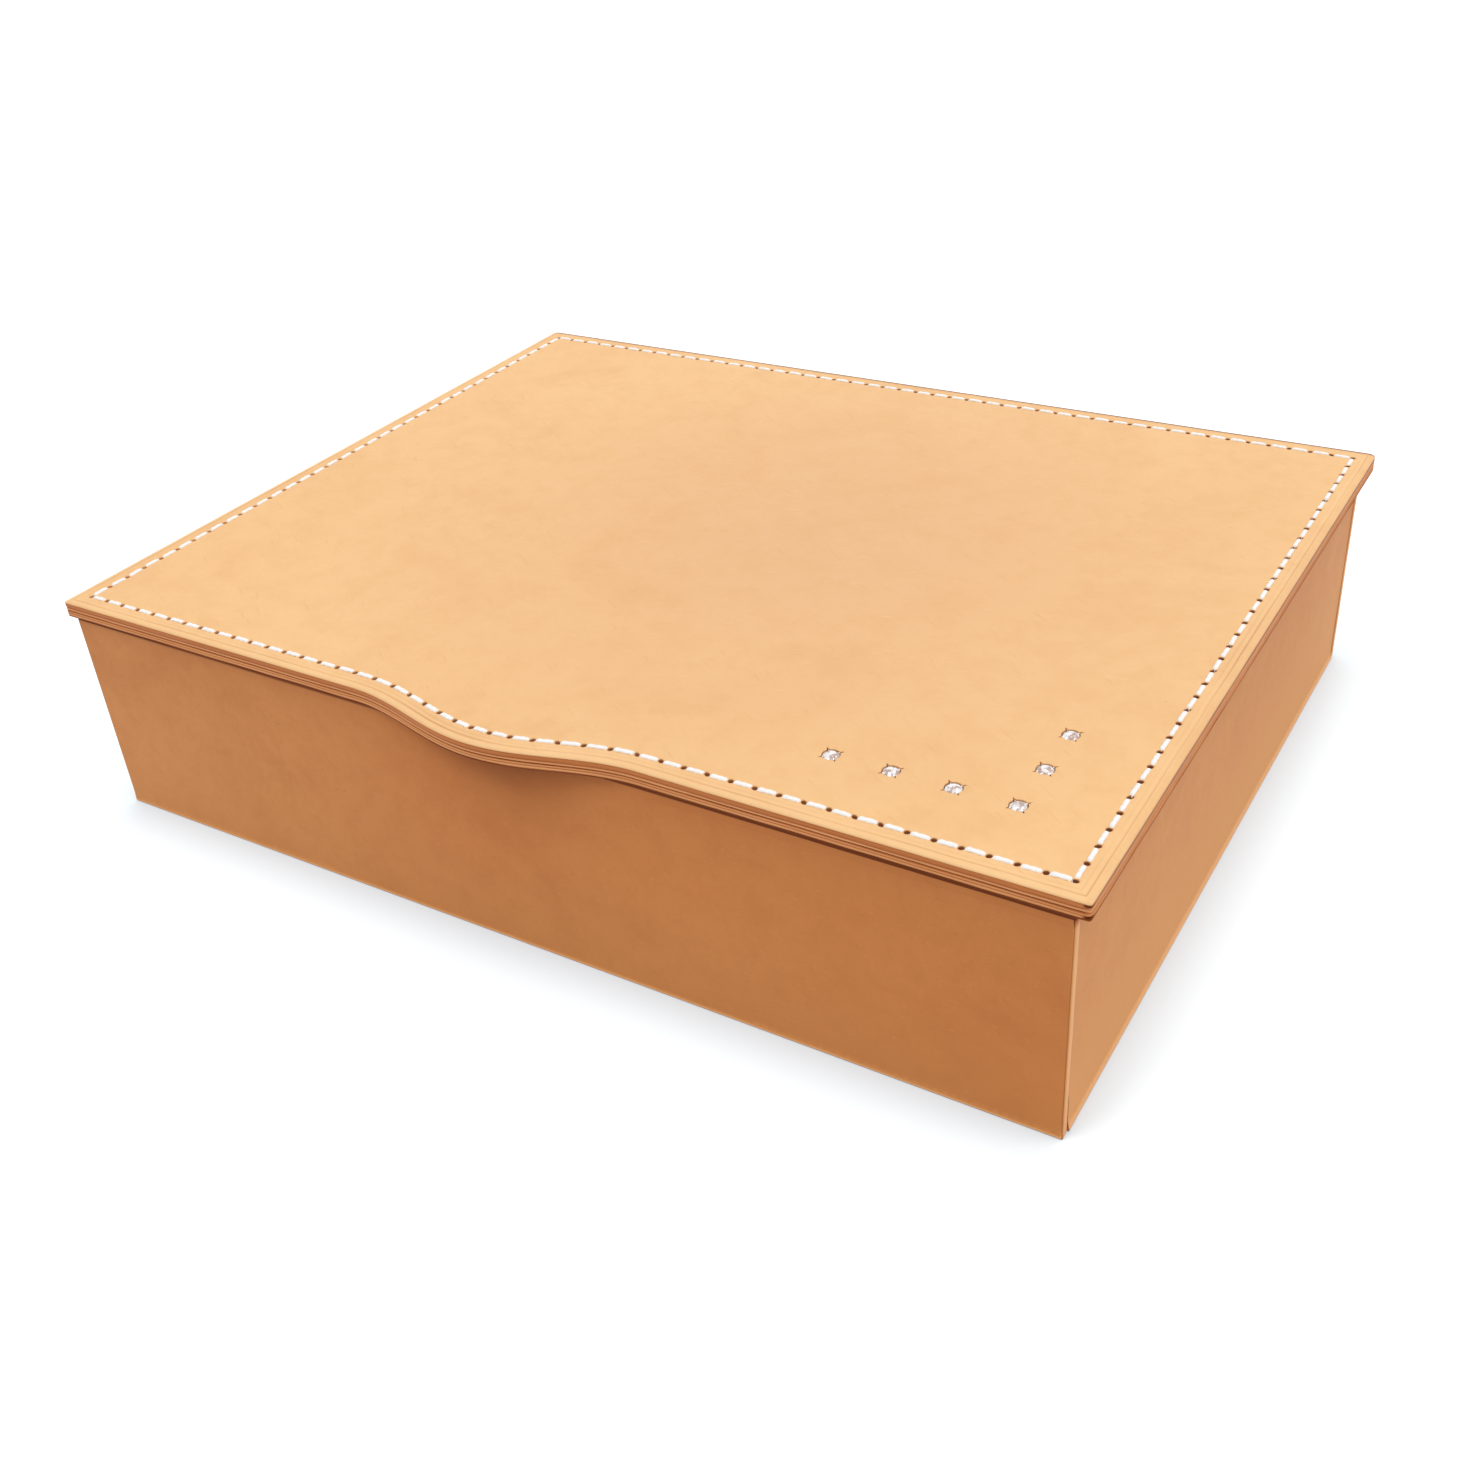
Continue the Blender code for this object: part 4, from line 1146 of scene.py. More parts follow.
def make_linings(finish):
    for k, side in enumerate(WALL_SHADE_AND_MARKS):
        half_length = BODY_HALF_Y if side in ("left", "right") else BODY_HALF_X
        mesh = lining_mesh(f"{side}_suede", half_length, wall_place(side, 0), 40.0 + k)
        add_piece(f"{side}_suede", mesh, finish, "root", "suede", f"{side}_lining")
    place = ("floor_suede", "floor_lining", "root", "suede", finish)
    add_soft_box(*place, FLOOR_ROUNDING, FLOOR_STEP, SUEDE_SOFTNESS, 47.0)
    for k, part in enumerate(("long", "back", "ring", "side")):
        place = (f"{part}_partition", f"{part}_divider", "root", "suede", finish)
        add_soft_box(*place, DIVIDER_ROUNDING, SUEDE_STEP, SUEDE_SOFTNESS, 50.0 + k)


def signed_power(value, power):
    return math.copysign(abs(value) ** power, value)


def roll_mesh(name, low, high, seed):
    """A padded roll along X with a flat bed, gathered ends and a few soft wrinkles."""
    length = high.x - low.x
    width = high.y - low.y
    height = high.z - low.z
    bm = bmesh.new()
    rings = []
    for k in range(-GATHER_RINGS, ROLL_RINGS + GATHER_RINGS + 1):
        gather = max(0, -k, k - ROLL_RINGS) / (GATHER_RINGS + 1)
        t = -math.cos(math.pi * min(max(k, 0), ROLL_RINGS) / ROLL_RINGS)
        draw = ROLL_END + (1 - ROLL_END) * math.sqrt(1 - t**6)
        draw *= 1 - gather * ROLL_GATHER
        lift = 1 + ROLL_CROWN * (1 - t * t)
        near_end = max(0.0, (abs(t) - 0.90) / 0.10)
        x = (low.x + high.x) / 2 + length / 2 * t * (1 - ROLL_TUCK * gather)
        ring = []
        for j in range(ROLL_SIDES):
            a = 2 * math.pi * (j + 0.5) / ROLL_SIDES
            pleat = 1 - PLEAT_DEPTH * near_end * (1 + math.cos(PLEATS * a + seed)) / 2
            y = width / 2 * draw * pleat * signed_power(math.cos(a), ROLL_SIDE_POWER)
            z = math.sin(a)
            z = signed_power(z, ROLL_FLAT_POWER) if z < 0 else z
            z = height / 2 * (1 + z * draw * pleat) / (1 + ROLL_CROWN) * lift
            place = Vector((t * 4, 2 * min(a, 2 * math.pi - a), seed))
            fold = ROLL_WRINKLE * noise.noise(place) * (1 - gather)
            soft = 1 - max(0.0, fold + ROLL_WRINKLE) / width
            across = (low.y + high.y) / 2 + y * soft
            ring.append(bm.verts.new((x, across, low.z + z * (soft if z > 0 else 1))))
        rings.append(ring)
    join_rings(bm, rings)
    return finished(bm, name)


def held_share(p, low, high):
    """How firmly a point of a roll is held: fully where it lies on the floor and at its gathered ends."""
    bed = 1 - (p.z - low.z) / ROLL_BED
    end = 1 - min(p.x - low.x, high.x - p.x) / ROLL_END_HOLD
    return min(1.0, max(0.0, bed, end))


def inflate(mesh, held, pressure, most):
    """Fills a padded piece out as cloth under pressure, no point by more than most.

    The cloth is worked out at a larger scale, because its springs are made for garments.
    """
    scene = bpy.context.scene
    start = [v.co.copy() for v in mesh.vertices]
    mesh.transform(Matrix.Scale(CLOTH_SCALE, 4))
    pad = add_object("inflated", mesh)
    group = pad.vertex_groups.new(name="held")
    for k, p in enumerate(start):
        group.add([k], held(p), "REPLACE")
    cloth = pad.modifiers.new("cloth", "CLOTH")
    cloth.settings.quality = CLOTH_QUALITY
    cloth.settings.vertex_group_mass = "held"
    cloth.settings.use_pressure = True
    cloth.settings.uniform_pressure_force = pressure
    cloth.settings.effector_weights.gravity = 0
    cloth.collision_settings.use_collision = False
    cloth.point_cache.frame_end = CLOTH_FRAMES
    for frame in range(1, CLOTH_FRAMES + 1):
        scene.frame_set(frame)
    filled = bpy.data.meshes.new_from_object(pad.evaluated_get(bpy.context.evaluated_depsgraph_get()))
    for vert, p in zip(filled.vertices, start):
        move = vert.co / CLOTH_SCALE - p
        vert.co = p + move * min(1.0, most / max(move.length, most / 9))
    scene.frame_set(1)
    bpy.data.objects.remove(pad)
    bpy.data.meshes.remove(mesh)
    return filled


def make_rolls(finish):
    for k in range(1, 7):
        low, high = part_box(f"ring_roll_{k}")
        name = f"ring_bolster_{k}"
        slack = Vector((0, ROLL_SLACK, ROLL_SLACK))
        mesh = roll_mesh(name, low + slack - Vector((0, 0, ROLL_SLACK)), high - slack, 2.3 * k)
        mesh = inflate(mesh, lambda p: held_share(p, low, high), ROLL_PRESSURE, ROLL_SWELL)
        mesh.name = name
        roll = add_piece(name, mesh, finish, "root", "suede", f"ring_roll_{k}")


def liner_held(p, low, high):
    """The liner's suede is held where it meets the board and round its glued edge."""
    edge = min(p.x - low.x, high.x - p.x, p.y - low.y, high.y - p.y)
    if p.z > (low.z + high.z) / 2:
        return 1.0
    return max(0.0, 1 - edge / LINER_EDGE)


def make_liner(finishes):
    """The panel inside the lid: a board, and a thin pad wrapped in suede over it."""
    place = ("liner_core", "lid_liner_board", "lid", "board", finishes["board"])
    add_soft_box(*place, BOARD_ROUNDING, BOARD_STEP, BOARD_SAG, 61.0)
    low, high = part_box("lid_liner_suede")
    mesh = soft_box("liner_pad", low, high, SUEDE_ROUNDING, SUEDE_STEP, SUEDE_SOFTNESS, 63.0)
    mesh = inflate(mesh, lambda p: liner_held(p, low, high), LINER_PRESSURE, LINER_SWELL)
    mesh.name = "liner_pad"
    pad = add_piece("liner_pad", mesh, finishes["suede"], "lid", "suede", "lid_liner_suede")


# Hinges

PIN_LOW, PIN_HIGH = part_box("hinge_left_pin")
HINGE_AXIS = (PIN_LOW + PIN_HIGH) / 2
HINGE_CLEARANCE = 0.0003
KNUCKLE = 0.0015
KNUCKLE_HALF = 0.0043
LEAF = 0.0008
CURL_STEPS = 40
CURL = math.radians(290)
LEAF_BEVEL = 0.00008
PIN_SHARE = 0.43
PIN_DOME = ((0, 0), (0.9, 0), (1.5, 0.0001))
SCREW_HEAD = 0.0014
SCREW_DOME = 0.00020
SLOT_HALF_WIDTH = 0.00017
SLOT_HALF_LENGTH = 0.00105
SLOT_DEPTH = 0.00045
SCREW_STEPS = 32
PIN_STEPS = 24
HINGE_CREASE = math.radians(40)
LEAF_EDGE = math.radians(60)


def leaf_mesh(name, x_cuts, rolled, reach, matrix):
    """A hinge leaf: a strip that runs from its free end and rolls round the pin where it is a barrel."""
    middle = KNUCKLE - LEAF / 2
    line = [(Vector((-reach, middle)), Vector((0, 1))), (Vector((-KNUCKLE * 1.3, middle)), Vector((0, 1)))]
    for k in range(CURL_STEPS + 1):
        a = math.pi / 2 - CURL * k / CURL_STEPS
        out = Vector((math.cos(a), math.sin(a)))
        line.append((out * middle, out))
    bm = bmesh.new()
    verts = {}

    def vert(i, j, side):
        if (i, j, side) not in verts:
            p = line[i][0] + line[i][1] * (side * LEAF / 2)
            verts[i, j, side] = bm.verts.new((x_cuts[j], p.x, p.y))
        return verts[i, j, side]

    def present(i, j):
        if not (0 <= i < len(line) - 1 and 0 <= j < len(x_cuts) - 1):
            return False
        return i == 0 or j in rolled

    for i in range(len(line) - 1):
        for j in range(len(x_cuts) - 1):
            if not present(i, j):
                continue
            for side in (1, -1):
                bm.faces.new([vert(i + a, j + b, side) for a, b in ((0, 0), (0, 1), (1, 1), (1, 0))])
            borders = (
                (present(i - 1, j), (i, j), (i, j + 1)), (present(i + 1, j), (i + 1, j), (i + 1, j + 1)),
                (present(i, j - 1), (i, j), (i + 1, j)), (present(i, j + 1), (i, j + 1), (i + 1, j + 1)),
            )
            for joined, first, last in borders:
                if not joined:
                    bm.faces.new([vert(*first, 1), vert(*last, 1), vert(*last, -1), vert(*first, -1)])
    bmesh.ops.recalc_face_normals(bm, faces=bm.faces)
    sharp = [e for e in bm.edges if len(e.link_faces) == 2 and e.calc_face_angle() > LEAF_EDGE]
    bmesh.ops.bevel(bm, geom=sharp, offset=LEAF_BEVEL, segments=2, affect="EDGES", profile=0.5)
    return finished(bm, name, matrix, HINGE_CREASE)


def screw_mesh(name, matrix, turn):
    """A countersunk slotted screw head, its face at height zero."""

    def outline(inset):
        return [Vector(direction) * (SCREW_HEAD - inset) for direction in circle(SCREW_STEPS)]

    plate = Plate(outline)
    plate.level(SCREW_HEAD / 2, -SCREW_HEAD / 2)
    plate.level(0, -SCREW_DOME / 2)
    plate.level(SCREW_DOME, SCREW_DOME / 2)
    plate.level(SCREW_HEAD / 9, SCREW_DOME * 0.8)
    plate.close()
    rings = []
    for shrink, height in ((0.0, SCREW_DOME), (0.00002, -SLOT_DEPTH)):
        x = SLOT_HALF_LENGTH - shrink
        y = SLOT_HALF_WIDTH - shrink
        rings.append([(x, y, height), (-x, y, height), (-x, -y, height), (x, -y, height)])
    plate.fill([(0, y, SCREW_DOME) for y in (-SCREW_HEAD / 2, SCREW_HEAD / 2)], rings)
    return plate.mesh(name, matrix @ Matrix.Rotation(turn, 4, "Z"))


def pin_mesh(name, half_length, matrix):
    """A hinge pin along X, with a low domed head at each end."""
    bm = bmesh.new()
    pin = KNUCKLE * PIN_SHARE
    neck = half_length - HINGE_CLEARANCE
    dome = [(pin * share, half_length - drop) for share, drop in PIN_DOME] + [(pin * 1.6, neck), (pin, neck)]
    turned(bm, dome + [(radius, -height) for radius, height in reversed(dome)], PIN_STEPS, False)
    return finished(bm, name, matrix @ Matrix.Rotation(QUARTER, 4, "Y"), HINGE_CREASE)


def make_hinges(finish, screw_finish):
    chance = random.Random(11)
    for side in ("left", "right"):
        pin_low, pin_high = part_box(f"hinge_{side}_pin")
        spot = Matrix.Translation(((pin_low.x + pin_high.x) / 2, HINGE_AXIS.y, HINGE_AXIS.z))
        low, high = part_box(f"hinge_{side}_lid_leaf")
        half = (high.x - low.x) / 2
        gap = KNUCKLE_HALF + HINGE_CLEARANCE
        reach = HINGE_AXIS.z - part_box(f"hinge_{side}_body_leaf")[0].z
        upright = spot @ Matrix.Rotation(QUARTER, 4, "X")
        cuts = (-half, -KNUCKLE_HALF, KNUCKLE_HALF, half)
        mesh = leaf_mesh(f"lid_leaf_{side}", cuts, {1}, HINGE_AXIS.y - low.y, spot)
        add_piece(f"lid_leaf_{side}", mesh, finish, "lid", "brass", f"hinge_{side}_lid_leaf")
        mesh = leaf_mesh(f"body_leaf_{side}", (-half, -gap, gap, half), {0, 2}, reach, upright)
        add_piece(f"body_leaf_{side}", mesh, finish, "root", "brass", f"hinge_{side}_body_leaf")
        mesh = pin_mesh(f"pin_{side}", (pin_high.x - pin_low.x) / 2, spot)
        add_piece(f"pin_{side}", mesh, finish, "root", "brass", f"hinge_{side}_pin")
        for k in (1, 2):
            for where, body, turn in (("lid", "lid", 2 * QUARTER), ("body", "root", -QUARTER)):
                low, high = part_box(f"hinge_{side}_{where}_screw_{k}")
                face = (low + high) / 2
                if where == "lid":
                    face.z = low.z
                else:
                    face.y = high.y
                matrix = Matrix.Translation(face) @ Matrix.Rotation(turn, 4, "X")
                name = f"{where}_screw_{side}_{k}"
                mesh = screw_mesh(name, matrix, chance.uniform(0, math.pi))
                add_piece(name, mesh, screw_finish, body, "brass", f"hinge_{side}_{where}_screw_{k}")


# Materials

# Cut edges are CUT_LEATHER striped with CUT_DARK; CUT_PALE_AND_HIGHLIGHT is their pale ends and the painted
# highlight on ridges and feet; SHADED_LEATHER and DEEP_LEATHER are dark lines and painted shade, DEEP_LEATHER
# mostly painted shadow in holes, slits and gaps
CUT_LEATHER = (0.74, 0.275, 0.085)
CUT_DARK = (0.60, 0.190, 0.050)
CUT_PALE_AND_HIGHLIGHT = (0.99, 0.550, 0.260)
DEEP_LEATHER = (0.19, 0.042, 0.009)
SHADED_LEATHER = (0.46, 0.150, 0.038)


class Finish:
    """A material under construction, with short ways to add and join its nodes."""

    def __init__(self, name):
        self.material = bpy.data.materials.new(name)
        self.material.use_nodes = True
        self.tree = self.material.node_tree
        self.shader = self.tree.nodes["Principled BSDF"]
        self.spot = self.add("TexCoord").outputs["Object"]

    def add(self, kind, settings=(), **sockets):
        node = self.tree.nodes.new("ShaderNode" + kind)
        for key, value in dict(settings).items():
            setattr(node, key, value)
        for key, value in sockets.items():
            self.put(node.inputs[key.replace("_", " ")], value)
        return node

    def put(self, socket, value):
        if isinstance(value, bpy.types.NodeSocket):
            self.tree.links.new(value, socket)
        elif hasattr(socket.default_value, "__len__") and len(socket.default_value) == 4:
            socket.default_value = (*value[:3], 1)
        else:
            socket.default_value = value

    def stretched(self, x, y, z):
        """Object coordinates drawn out: a larger number packs the pattern closer along that axis."""
        return self.add("Mapping", Vector=self.spot, Scale=(x, y, z)).outputs["Vector"]

    def noise(self, scale, detail=4.0, roughness=0.5, vector=None, distortion=0.0):
        node = self.add("TexNoise", Scale=scale, Detail=detail, Roughness=roughness, Distortion=distortion)
        self.put(node.inputs["Vector"], vector or self.spot)
        return node.outputs["Fac"]

    def ramp(self, value, low, high, smooth=False):
        """Zero below low, one above high."""
        settings = {"interpolation_type": "SMOOTHSTEP"} if smooth else {}
        node = self.add("MapRange", settings, Value=value)
        node.inputs["From Min"].default_value = low
        node.inputs["From Max"].default_value = high
        return node.outputs["Result"]

    def math(self, operation, first, second):
        node = self.add("Math", {"operation": operation})
        self.put(node.inputs[0], first)
        self.put(node.inputs[1], second)
        return node.outputs[0]

    def mix(self, factor, first, second):
        node = self.add("Mix", {"data_type": "RGBA"})
        self.put(node.inputs[0], factor)
        self.put(node.inputs[6], first)
        self.put(node.inputs[7], second)
        return node.outputs[2]

    def tinted(self, colour, tint, mask, share):
        """The colour with a share of the tint where the mask is one."""
        return self.mix(self.math("MULTIPLY", mask, share), colour, tint)

    def clouds(self, scale, detail, roughness, distortion, low, high):
        """Soft patches of a noise."""
        return self.ramp(self.noise(scale, detail, roughness, None, distortion), low, high, True)

    def scratches(self, turn, length, width, level):
        """Short straight marks that lie one way: the peaks of a noise drawn far out along one line."""
        node = self.add("Mapping", {"vector_type": "TEXTURE"}, Vector=self.spot, Rotation=turn)
        node.inputs["Scale"].default_value = (length, width, width)
        return self.ramp(self.noise(1, 1, 0.4, node.outputs["Vector"]), level, level + 0.06)

    def flecks(self, spacing, radius, share):
        """Scattered small dots in the share given of the cells of a loose grid."""
        node = self.add("TexVoronoi", {"feature": "F1"}, Vector=self.spot, Scale=1 / spacing)
        number = self.add("SeparateColor", Color=node.outputs["Color"]).outputs[0]
        chosen = self.math("LESS_THAN", number, share)
        edge = radius / spacing
        return self.math("MULTIPLY", chosen, self.ramp(node.outputs["Distance"], edge, edge / 3, True))

    def attribute(self, name):
        return self.add("Attribute", {"attribute_name": name}).outputs["Fac"]

    def bump(self, height, distance, strength):
        node = self.add("Bump", Height=height, Distance=distance, Strength=strength)
        return node.outputs["Normal"]

    def set(self, **sockets):
        for key, value in sockets.items():
            self.put(self.shader.inputs[key.replace("_", " ")], value)
        return self.material


def leather(name, base, pale, dark, roughness, gloss, patch=None):
    """Vegetable-tanned leather: cloudy tone, fine grain, pores, scratches, and cut edges in layers.

    patch gives a place, a reach and a colour that the skin takes on around it; on the front wall this is
    painted light.
    """
    f = Finish(name)
    grain = f.noise(700, 4, 0.6)
    colour = f.tinted(base, pale, f.clouds(9, 3, 0.55, 0.4, 0.36, 0.66), 0.30)
    if patch:
        place, reach, tint = patch
        distance = f.add("VectorMath", {"operation": "DISTANCE"})
        f.put(distance.inputs[0], f.spot)
        f.put(distance.inputs[1], place)
        colour = f.mix(f.ramp(distance.outputs["Value"], reach, 0.0, True), colour, tint)
    colour = f.tinted(colour, dark, f.clouds(34, 5, 0.6, 0.6, 0.42, 0.74), 0.24)
    colour = f.tinted(colour, dark, f.clouds(150, 4, 0.6, 0.3, 0.40, 0.70), 0.16)
    scratches = f.scratches((0.03, 0.10, 0.25), 0.016, 0.00035, 0.70)
    rubs = f.scratches((0.05, -0.08, -0.60), 0.030, 0.00060, 0.70)
    colour = f.tinted(colour, pale, scratches, 0.35)
    colour = f.tinted(colour, dark, rubs, 0.25)
    colour = f.tinted(colour, dark, f.flecks(0.010, 0.0004, 0.45), 0.55)
    colour = f.tinted(colour, dark, f.ramp(grain, 0.35, 0.75), 0.08)
    pores = f.add("TexVoronoi", {"feature": "F1"}, Vector=f.spot, Scale=1500.0).outputs["Distance"]
    pits = f.ramp(pores, 0.22, 0.06)
    colour = f.tinted(colour, dark, pits, 0.09)
    # The tone attribute carries painted shade (gaps, grooves, holes, slits, under the lid and lip) and
    # painted highlight (ridges, upper bevel, foot) as well as the leather's own dark lines and pale cut ends
    tone = f.attribute("tone")
    cut = f.attribute("cut")
    lines = f.ramp(f.noise(1, 3, 0.6, f.stretched(22, 22, 1000)), 0.25, 0.75)
    colour = f.mix(cut, colour, f.mix(lines, CUT_DARK, CUT_LEATHER))
    colour = f.tinted(colour, f.mix(cut, pale, CUT_PALE_AND_HIGHLIGHT), tone, -1.0)
    colour = f.mix(tone, colour, f.mix(f.ramp(tone, 0.35, 0.85), SHADED_LEATHER, DEEP_LEATHER))
    height = f.math("ADD", f.math("MULTIPLY", grain, 0.5), f.math("MULTIPLY", pits, -0.4))
    height = f.math("ADD", height, f.math("MULTIPLY", f.math("MAXIMUM", scratches, rubs), -0.5))
    rough = f.math("ADD", f.math("MULTIPLY", grain, 0.16), roughness - 0.08)
    normal = f.bump(height, 0.00006, 0.5)
    return f.set(Base_Color=colour, Roughness=rough, Normal=normal, Specular_IOR_Level=gloss)


def thread_finish():
    f = Finish("thread")
    fuzz = f.noise(2600, 3, 0.6)
    colour = f.mix(f.ramp(fuzz, 0.3, 0.7), (0.97, 0.96, 0.95), (0.88, 0.87, 0.85))
    return f.set(Base_Color=colour, Roughness=0.75, Normal=f.bump(fuzz, 0.00004, 0.4), Specular_IOR_Level=0.3)


def suede_finish(name, base, patch):
    f = Finish(name)
    nap = f.noise(1400, 4, 0.7)
    colour = f.tinted(base, patch, f.clouds(45, 4, 0.6, 0.8, 0.35, 0.7), 0.5)
    colour = f.tinted(colour, patch, nap, 0.35)
    f.set(Sheen_Weight=0.25, Sheen_Roughness=0.4, Specular_IOR_Level=0.15)
    return f.set(Base_Color=colour, Roughness=0.95, Normal=f.bump(nap, 0.00015, 0.5))


def board_finish():
    f = Finish("board")
    fibres = f.noise(1, 5, 0.6, f.stretched(200, 200, 1200))
    colour = f.mix(fibres, (0.40, 0.30, 0.19), (0.62, 0.49, 0.34))
    return f.set(Base_Color=colour, Roughness=0.85, Normal=f.bump(fibres, 0.00008, 0.4))


def brass_finish(name, bright, dull):
    """Brushed brass, tarnished in patches."""
    f = Finish(name)
    tarnish = f.ramp(f.noise(260, 4, 0.6), 0.42, 0.72)
    brushed = f.noise(1, 4, 0.6, f.stretched(120, 3000, 3000))
    colour = f.tinted(bright, dull, tarnish, 0.5)
    rough = f.math("ADD", f.math("MULTIPLY", brushed, 0.22), 0.20)
    return f.set(Base_Color=colour, Metallic=1.0, Roughness=rough, Normal=f.bump(brushed, 0.00002, 0.4))


def silver_finish():
    f = Finish("silver")
    look = f.noise(900, 3, 0.6)
    colour = f.tinted((0.97, 0.95, 0.94), (0.75, 0.70, 0.68), look, 0.4)
    rough = f.math("ADD", f.math("MULTIPLY", look, 0.2), 0.25)
    return f.set(Base_Color=colour, Metallic=1.0, Roughness=rough)


def stone_finish():
    """Cut glass with a foil back: clear and bright from inside, with brownish patches painted in as the
    reflection of the leather it sits in.
    """
    f = Finish("stone")
    # Painted reflection: patches tinted the brown of the surrounding leather
    tint = f.ramp(f.noise(800, 2, 0.5), 0.47, 0.57)
    colour = f.tinted((0.99, 0.97, 0.97), (0.42, 0.22, 0.16), tint, 0.85)
    return f.set(Base_Color=colour, Roughness=0.03, Transmission_Weight=0.1, IOR=2.2)


def make_finishes():
    # The lid's top is darker toward its middle
    lid_middle_tint = (Vector((0.02, 0.0, LID_TOP)), 0.14, (0.810, 0.480, 0.240))
    # Painted light on the front wall: paler toward its left end
    front_painted_light = (Vector((-BODY_HALF_X, -BODY_HALF_Y, RIM / 2)), 0.16, (0.83, 0.365, 0.130))
    lid = ((0.89, 0.54, 0.250), (0.96, 0.63, 0.315), (0.72, 0.37, 0.14))
    under = ((0.80, 0.40, 0.16), (0.88, 0.48, 0.22), (0.60, 0.27, 0.10))
    body = ((0.71, 0.290, 0.081), (0.86, 0.420, 0.145), (0.57, 0.212, 0.052))
    # The front wall's leather is a painted shade copy of the body's: redder and a little darker
    front = ((0.72, 0.264, 0.081), (0.86, 0.420, 0.145), (0.55, 0.18, 0.048))
    return {
        "lid": leather("lid_leather", *lid, 0.48, 0.22, lid_middle_tint),
        "under": leather("under_leather", *under, 0.6, 0.15),
        "body": leather("body_leather", *body, 0.5, 0.12),
        "front": leather("front_leather", *front, 0.5, 0.12, front_painted_light),
        "suede": suede_finish("suede", (0.44, 0.29, 0.18), (0.55, 0.39, 0.26)),
        "board": board_finish(),
        "thread": thread_finish(),
        "stone": stone_finish(),
        "silver": silver_finish(),
        "brass": brass_finish("brass", (0.62, 0.40, 0.130), (0.32, 0.19, 0.065)),
        "screw": brass_finish("screw_brass", (0.42, 0.27, 0.100), (0.20, 0.12, 0.045)),
    }


def dress_nodes(finishes):
    """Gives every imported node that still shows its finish."""
    kinds = (
        ("hinge", "brass"), ("board", "board"), ("lining", "suede"), ("divider", "suede"),
        ("ring_roll", "suede"), ("suede", "suede"), ("leather", "body"), ("setting", "silver"),
        ("stone", "stone"), ("thread", "thread"),
    )
    for name, obj in frame["nodes"].items():
        finish = next(finish for key, finish in kinds if key in name)
        for slot in obj.material_slots:
            slot.material = finishes[finish]


# Camera, floor and light

CAMERA_AZIMUTH = math.radians(33.34)
CAMERA_ELEVATION = math.radians(33.18)
CAMERA_ROLL = math.radians(-4.46)
CAMERA_SPOT = Vector((0.1861, -0.2885, 0.2210))
CAMERA_LENS = 39.69
FLOOR_HALF = 4.0
FLOOR_COLOUR = (0.60, 0.53, 0.50)
FLOOR_GLOW = (0.53, 0.67, 0.72)
# Painted contact shadow on the floor: its glow colour, reach and depth
CONTACT_SHADOW_GLOW = (0.51, 0.80, 0.96)
CONTACT_SHADOW_REACH = 0.014
CONTACT_SHADOW_LOSS = 0.9
WORLD_LEVEL = 0.46

# Broad soft lights: name, azimuth (0 in front, 90 to the right), elevation, strength, angular size
SUNS = (
    ("key_light", 170, 68, 0.90, 50),
    ("front_light", -35, 58, 0.85, 24),
    ("side_light", 100, 30, 0.70, 60),
)


def toward(azimuth, elevation):
    """The direction of what is seen at an azimuth and elevation from the box."""
    level = math.cos(elevation)
    return Vector((math.sin(azimuth) * level, -math.cos(azimuth) * level, math.sin(elevation)))


def make_camera():
    back = toward(CAMERA_AZIMUTH, CAMERA_ELEVATION)
    level = Vector((math.cos(CAMERA_AZIMUTH), math.sin(CAMERA_AZIMUTH), 0))
    up = back.cross(level)
    right = level * math.cos(CAMERA_ROLL) + up * math.sin(CAMERA_ROLL)
    up = up * math.cos(CAMERA_ROLL) - level * math.sin(CAMERA_ROLL)
    data = bpy.data.cameras.new("camera")
    data.lens = CAMERA_LENS
    data.sensor_width = 36
    data.clip_start = 0.01
    data.clip_end = 50
    camera = add_object("camera", data)
    turn = Matrix((right, up, back)).transposed().to_4x4()
    camera.matrix_world = Matrix.Translation(CAMERA_SPOT) @ turn
    bpy.context.scene.camera = camera


def seen_directly(tree):
    """One for rays that show the background: from the camera, in a reflection or through glass."""
    path = tree.nodes.new("ShaderNodeLightPath")
    total = path.outputs["Is Camera Ray"]
    for name in ("Is Glossy Ray", "Is Transmission Ray"):
        add = tree.nodes.new("ShaderNodeMath")
        add.operation = "MAXIMUM"
        tree.links.new(total, add.inputs[0])
        tree.links.new(path.outputs[name], add.inputs[1])
        total = add.outputs[0]
    return total


def make_world(level):
    world = bpy.data.worlds.new("studio")
    bpy.context.scene.world = world
    world.use_nodes = True
    tree = world.node_tree
    background = tree.nodes["Background"]
    mix = tree.nodes.new("ShaderNodeMix")
    mix.inputs[2].default_value = level
    mix.inputs[3].default_value = 1.0
    tree.links.new(seen_directly(tree), mix.inputs[0])
    tree.links.new(mix.outputs[0], background.inputs["Strength"])
    background.inputs["Color"].default_value = (1, 1, 1, 1)


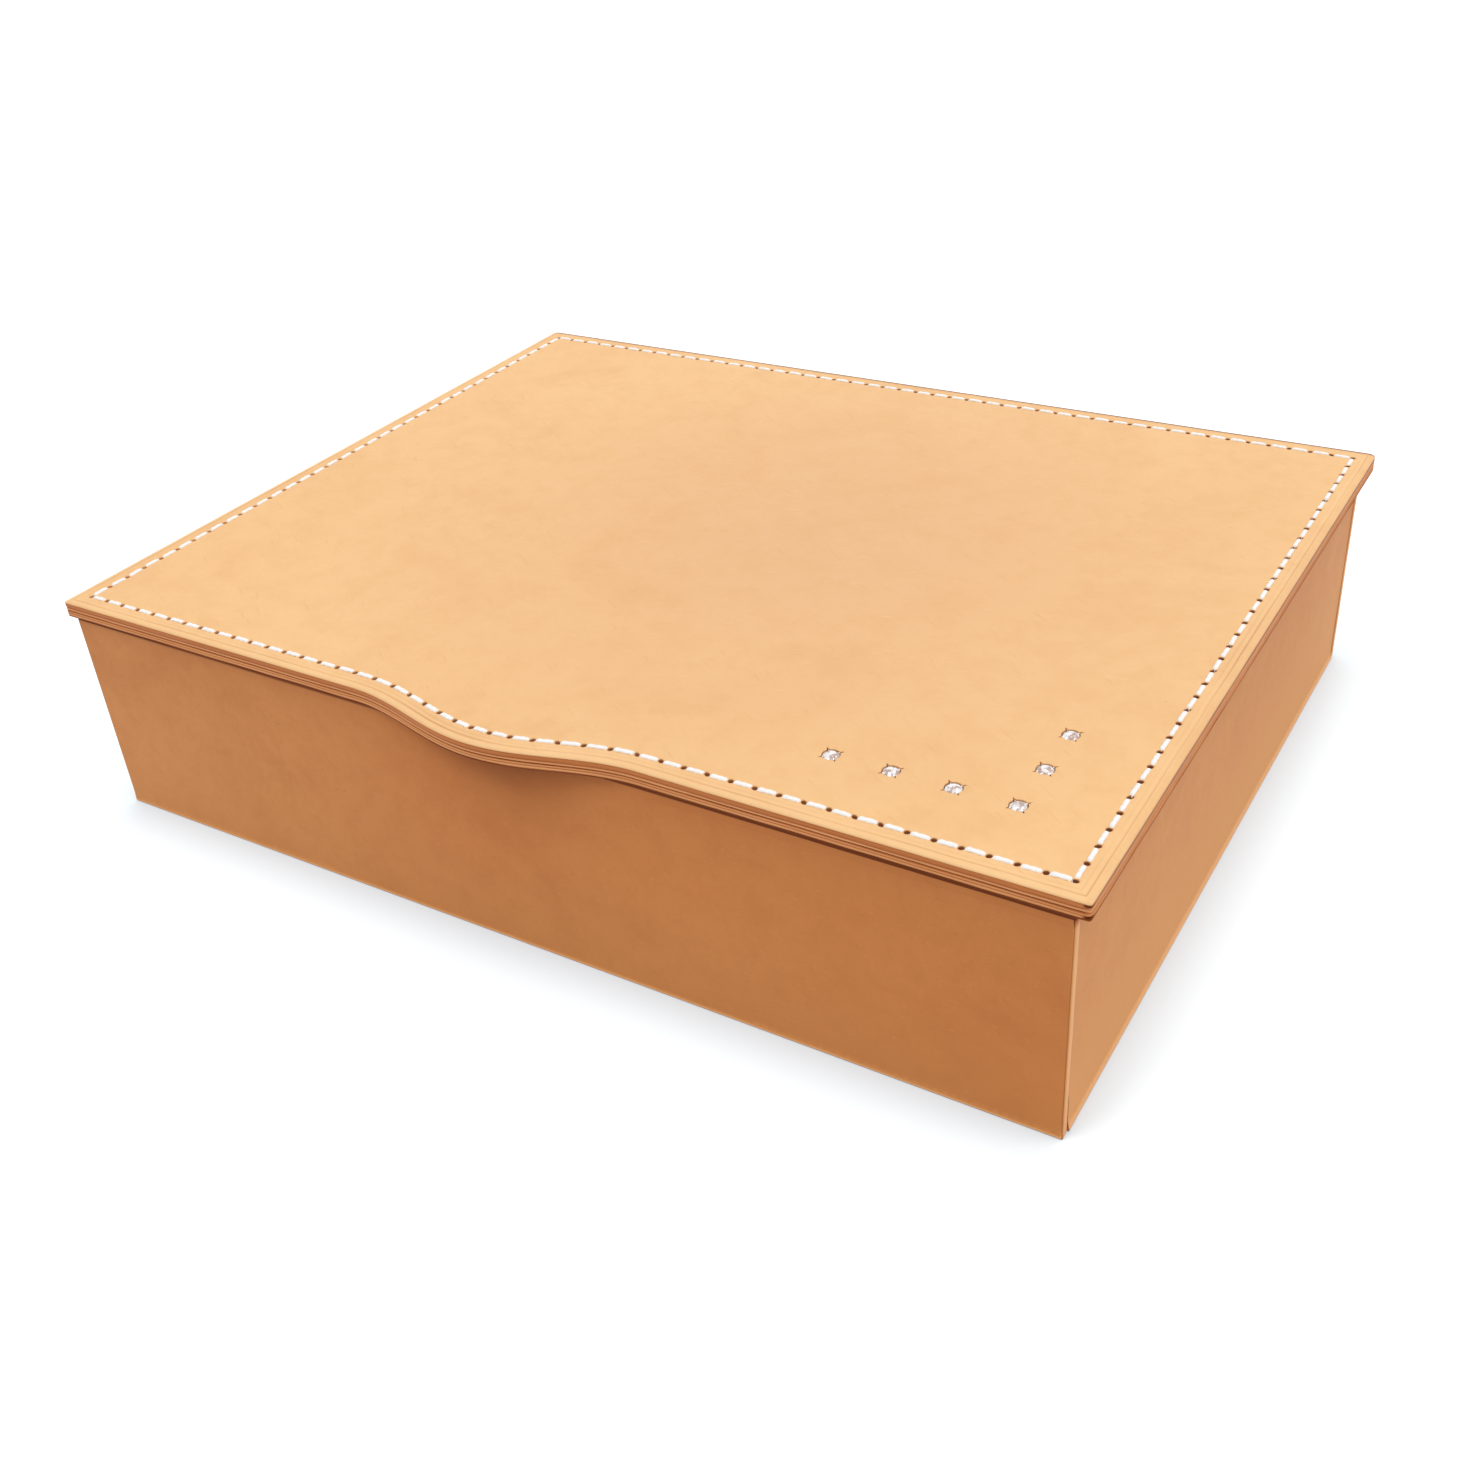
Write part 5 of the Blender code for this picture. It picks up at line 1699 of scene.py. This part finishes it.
def make_floor():
    """A white floor; its glow is seen directly only, so it takes the lamps' shadow and lights nothing, and
    near the box the glow fades with ambient occlusion, a painted contact shadow.
    """
    bm = bmesh.new()
    bmesh.ops.create_grid(bm, x_segments=1, y_segments=1, size=FLOOR_HALF)
    mesh = bpy.data.meshes.new("floor")
    bm.to_mesh(mesh)
    bm.free()
    floor = add_object("floor", mesh)
    f = Finish("floor")
    mottle = f.noise(3, 2, 0.5)
    colour = f.mix(mottle, FLOOR_COLOUR, [share * 1.02 for share in FLOOR_COLOUR])
    # Painted contact shadow: the glow is cut where ambient occlusion finds the box near
    blocked = f.math("SUBTRACT", 1.0, f.add("AmbientOcclusion", Distance=CONTACT_SHADOW_REACH).outputs["AO"])
    glow_colour = f.mix(blocked, FLOOR_GLOW, CONTACT_SHADOW_GLOW)
    f.set(Base_Color=colour, Roughness=1.0, Specular_IOR_Level=0.0, Emission_Color=glow_colour)
    open_share = f.math("SUBTRACT", 1.0, f.math("MULTIPLY", blocked, CONTACT_SHADOW_LOSS))
    glow = f.math("MULTIPLY", seen_directly(f.tree), open_share)
    f.tree.links.new(glow, f.shader.inputs["Emission Strength"])
    mesh.materials.append(f.material)


def make_sun(name, azimuth, elevation, strength, softness):
    data = bpy.data.lights.new(name, "SUN")
    data.energy = strength
    data.angle = math.radians(softness)
    lamp = add_object(name, data)
    lamp.rotation_mode = "QUATERNION"
    lamp.rotation_quaternion = toward(math.radians(azimuth), math.radians(elevation)).to_track_quat("Z", "Y")


def make_studio():
    bpy.context.scene.view_settings.view_transform = "Standard"
    make_world(WORLD_LEVEL)
    make_floor()
    for sun in SUNS:
        make_sun(*sun)


finishes = make_finishes()
make_camera()
make_studio()
dress_nodes(finishes)
make_lid_top(finishes["lid"])
make_lid_under(finishes["under"])
make_stitches(finishes["thread"])
make_stones(finishes)
make_body(finishes)
make_boards(finishes["board"])
make_linings(finishes["suede"])
make_rolls(finishes["suede"])
make_liner(finishes)
make_hinges(finishes["brass"], finishes["screw"])
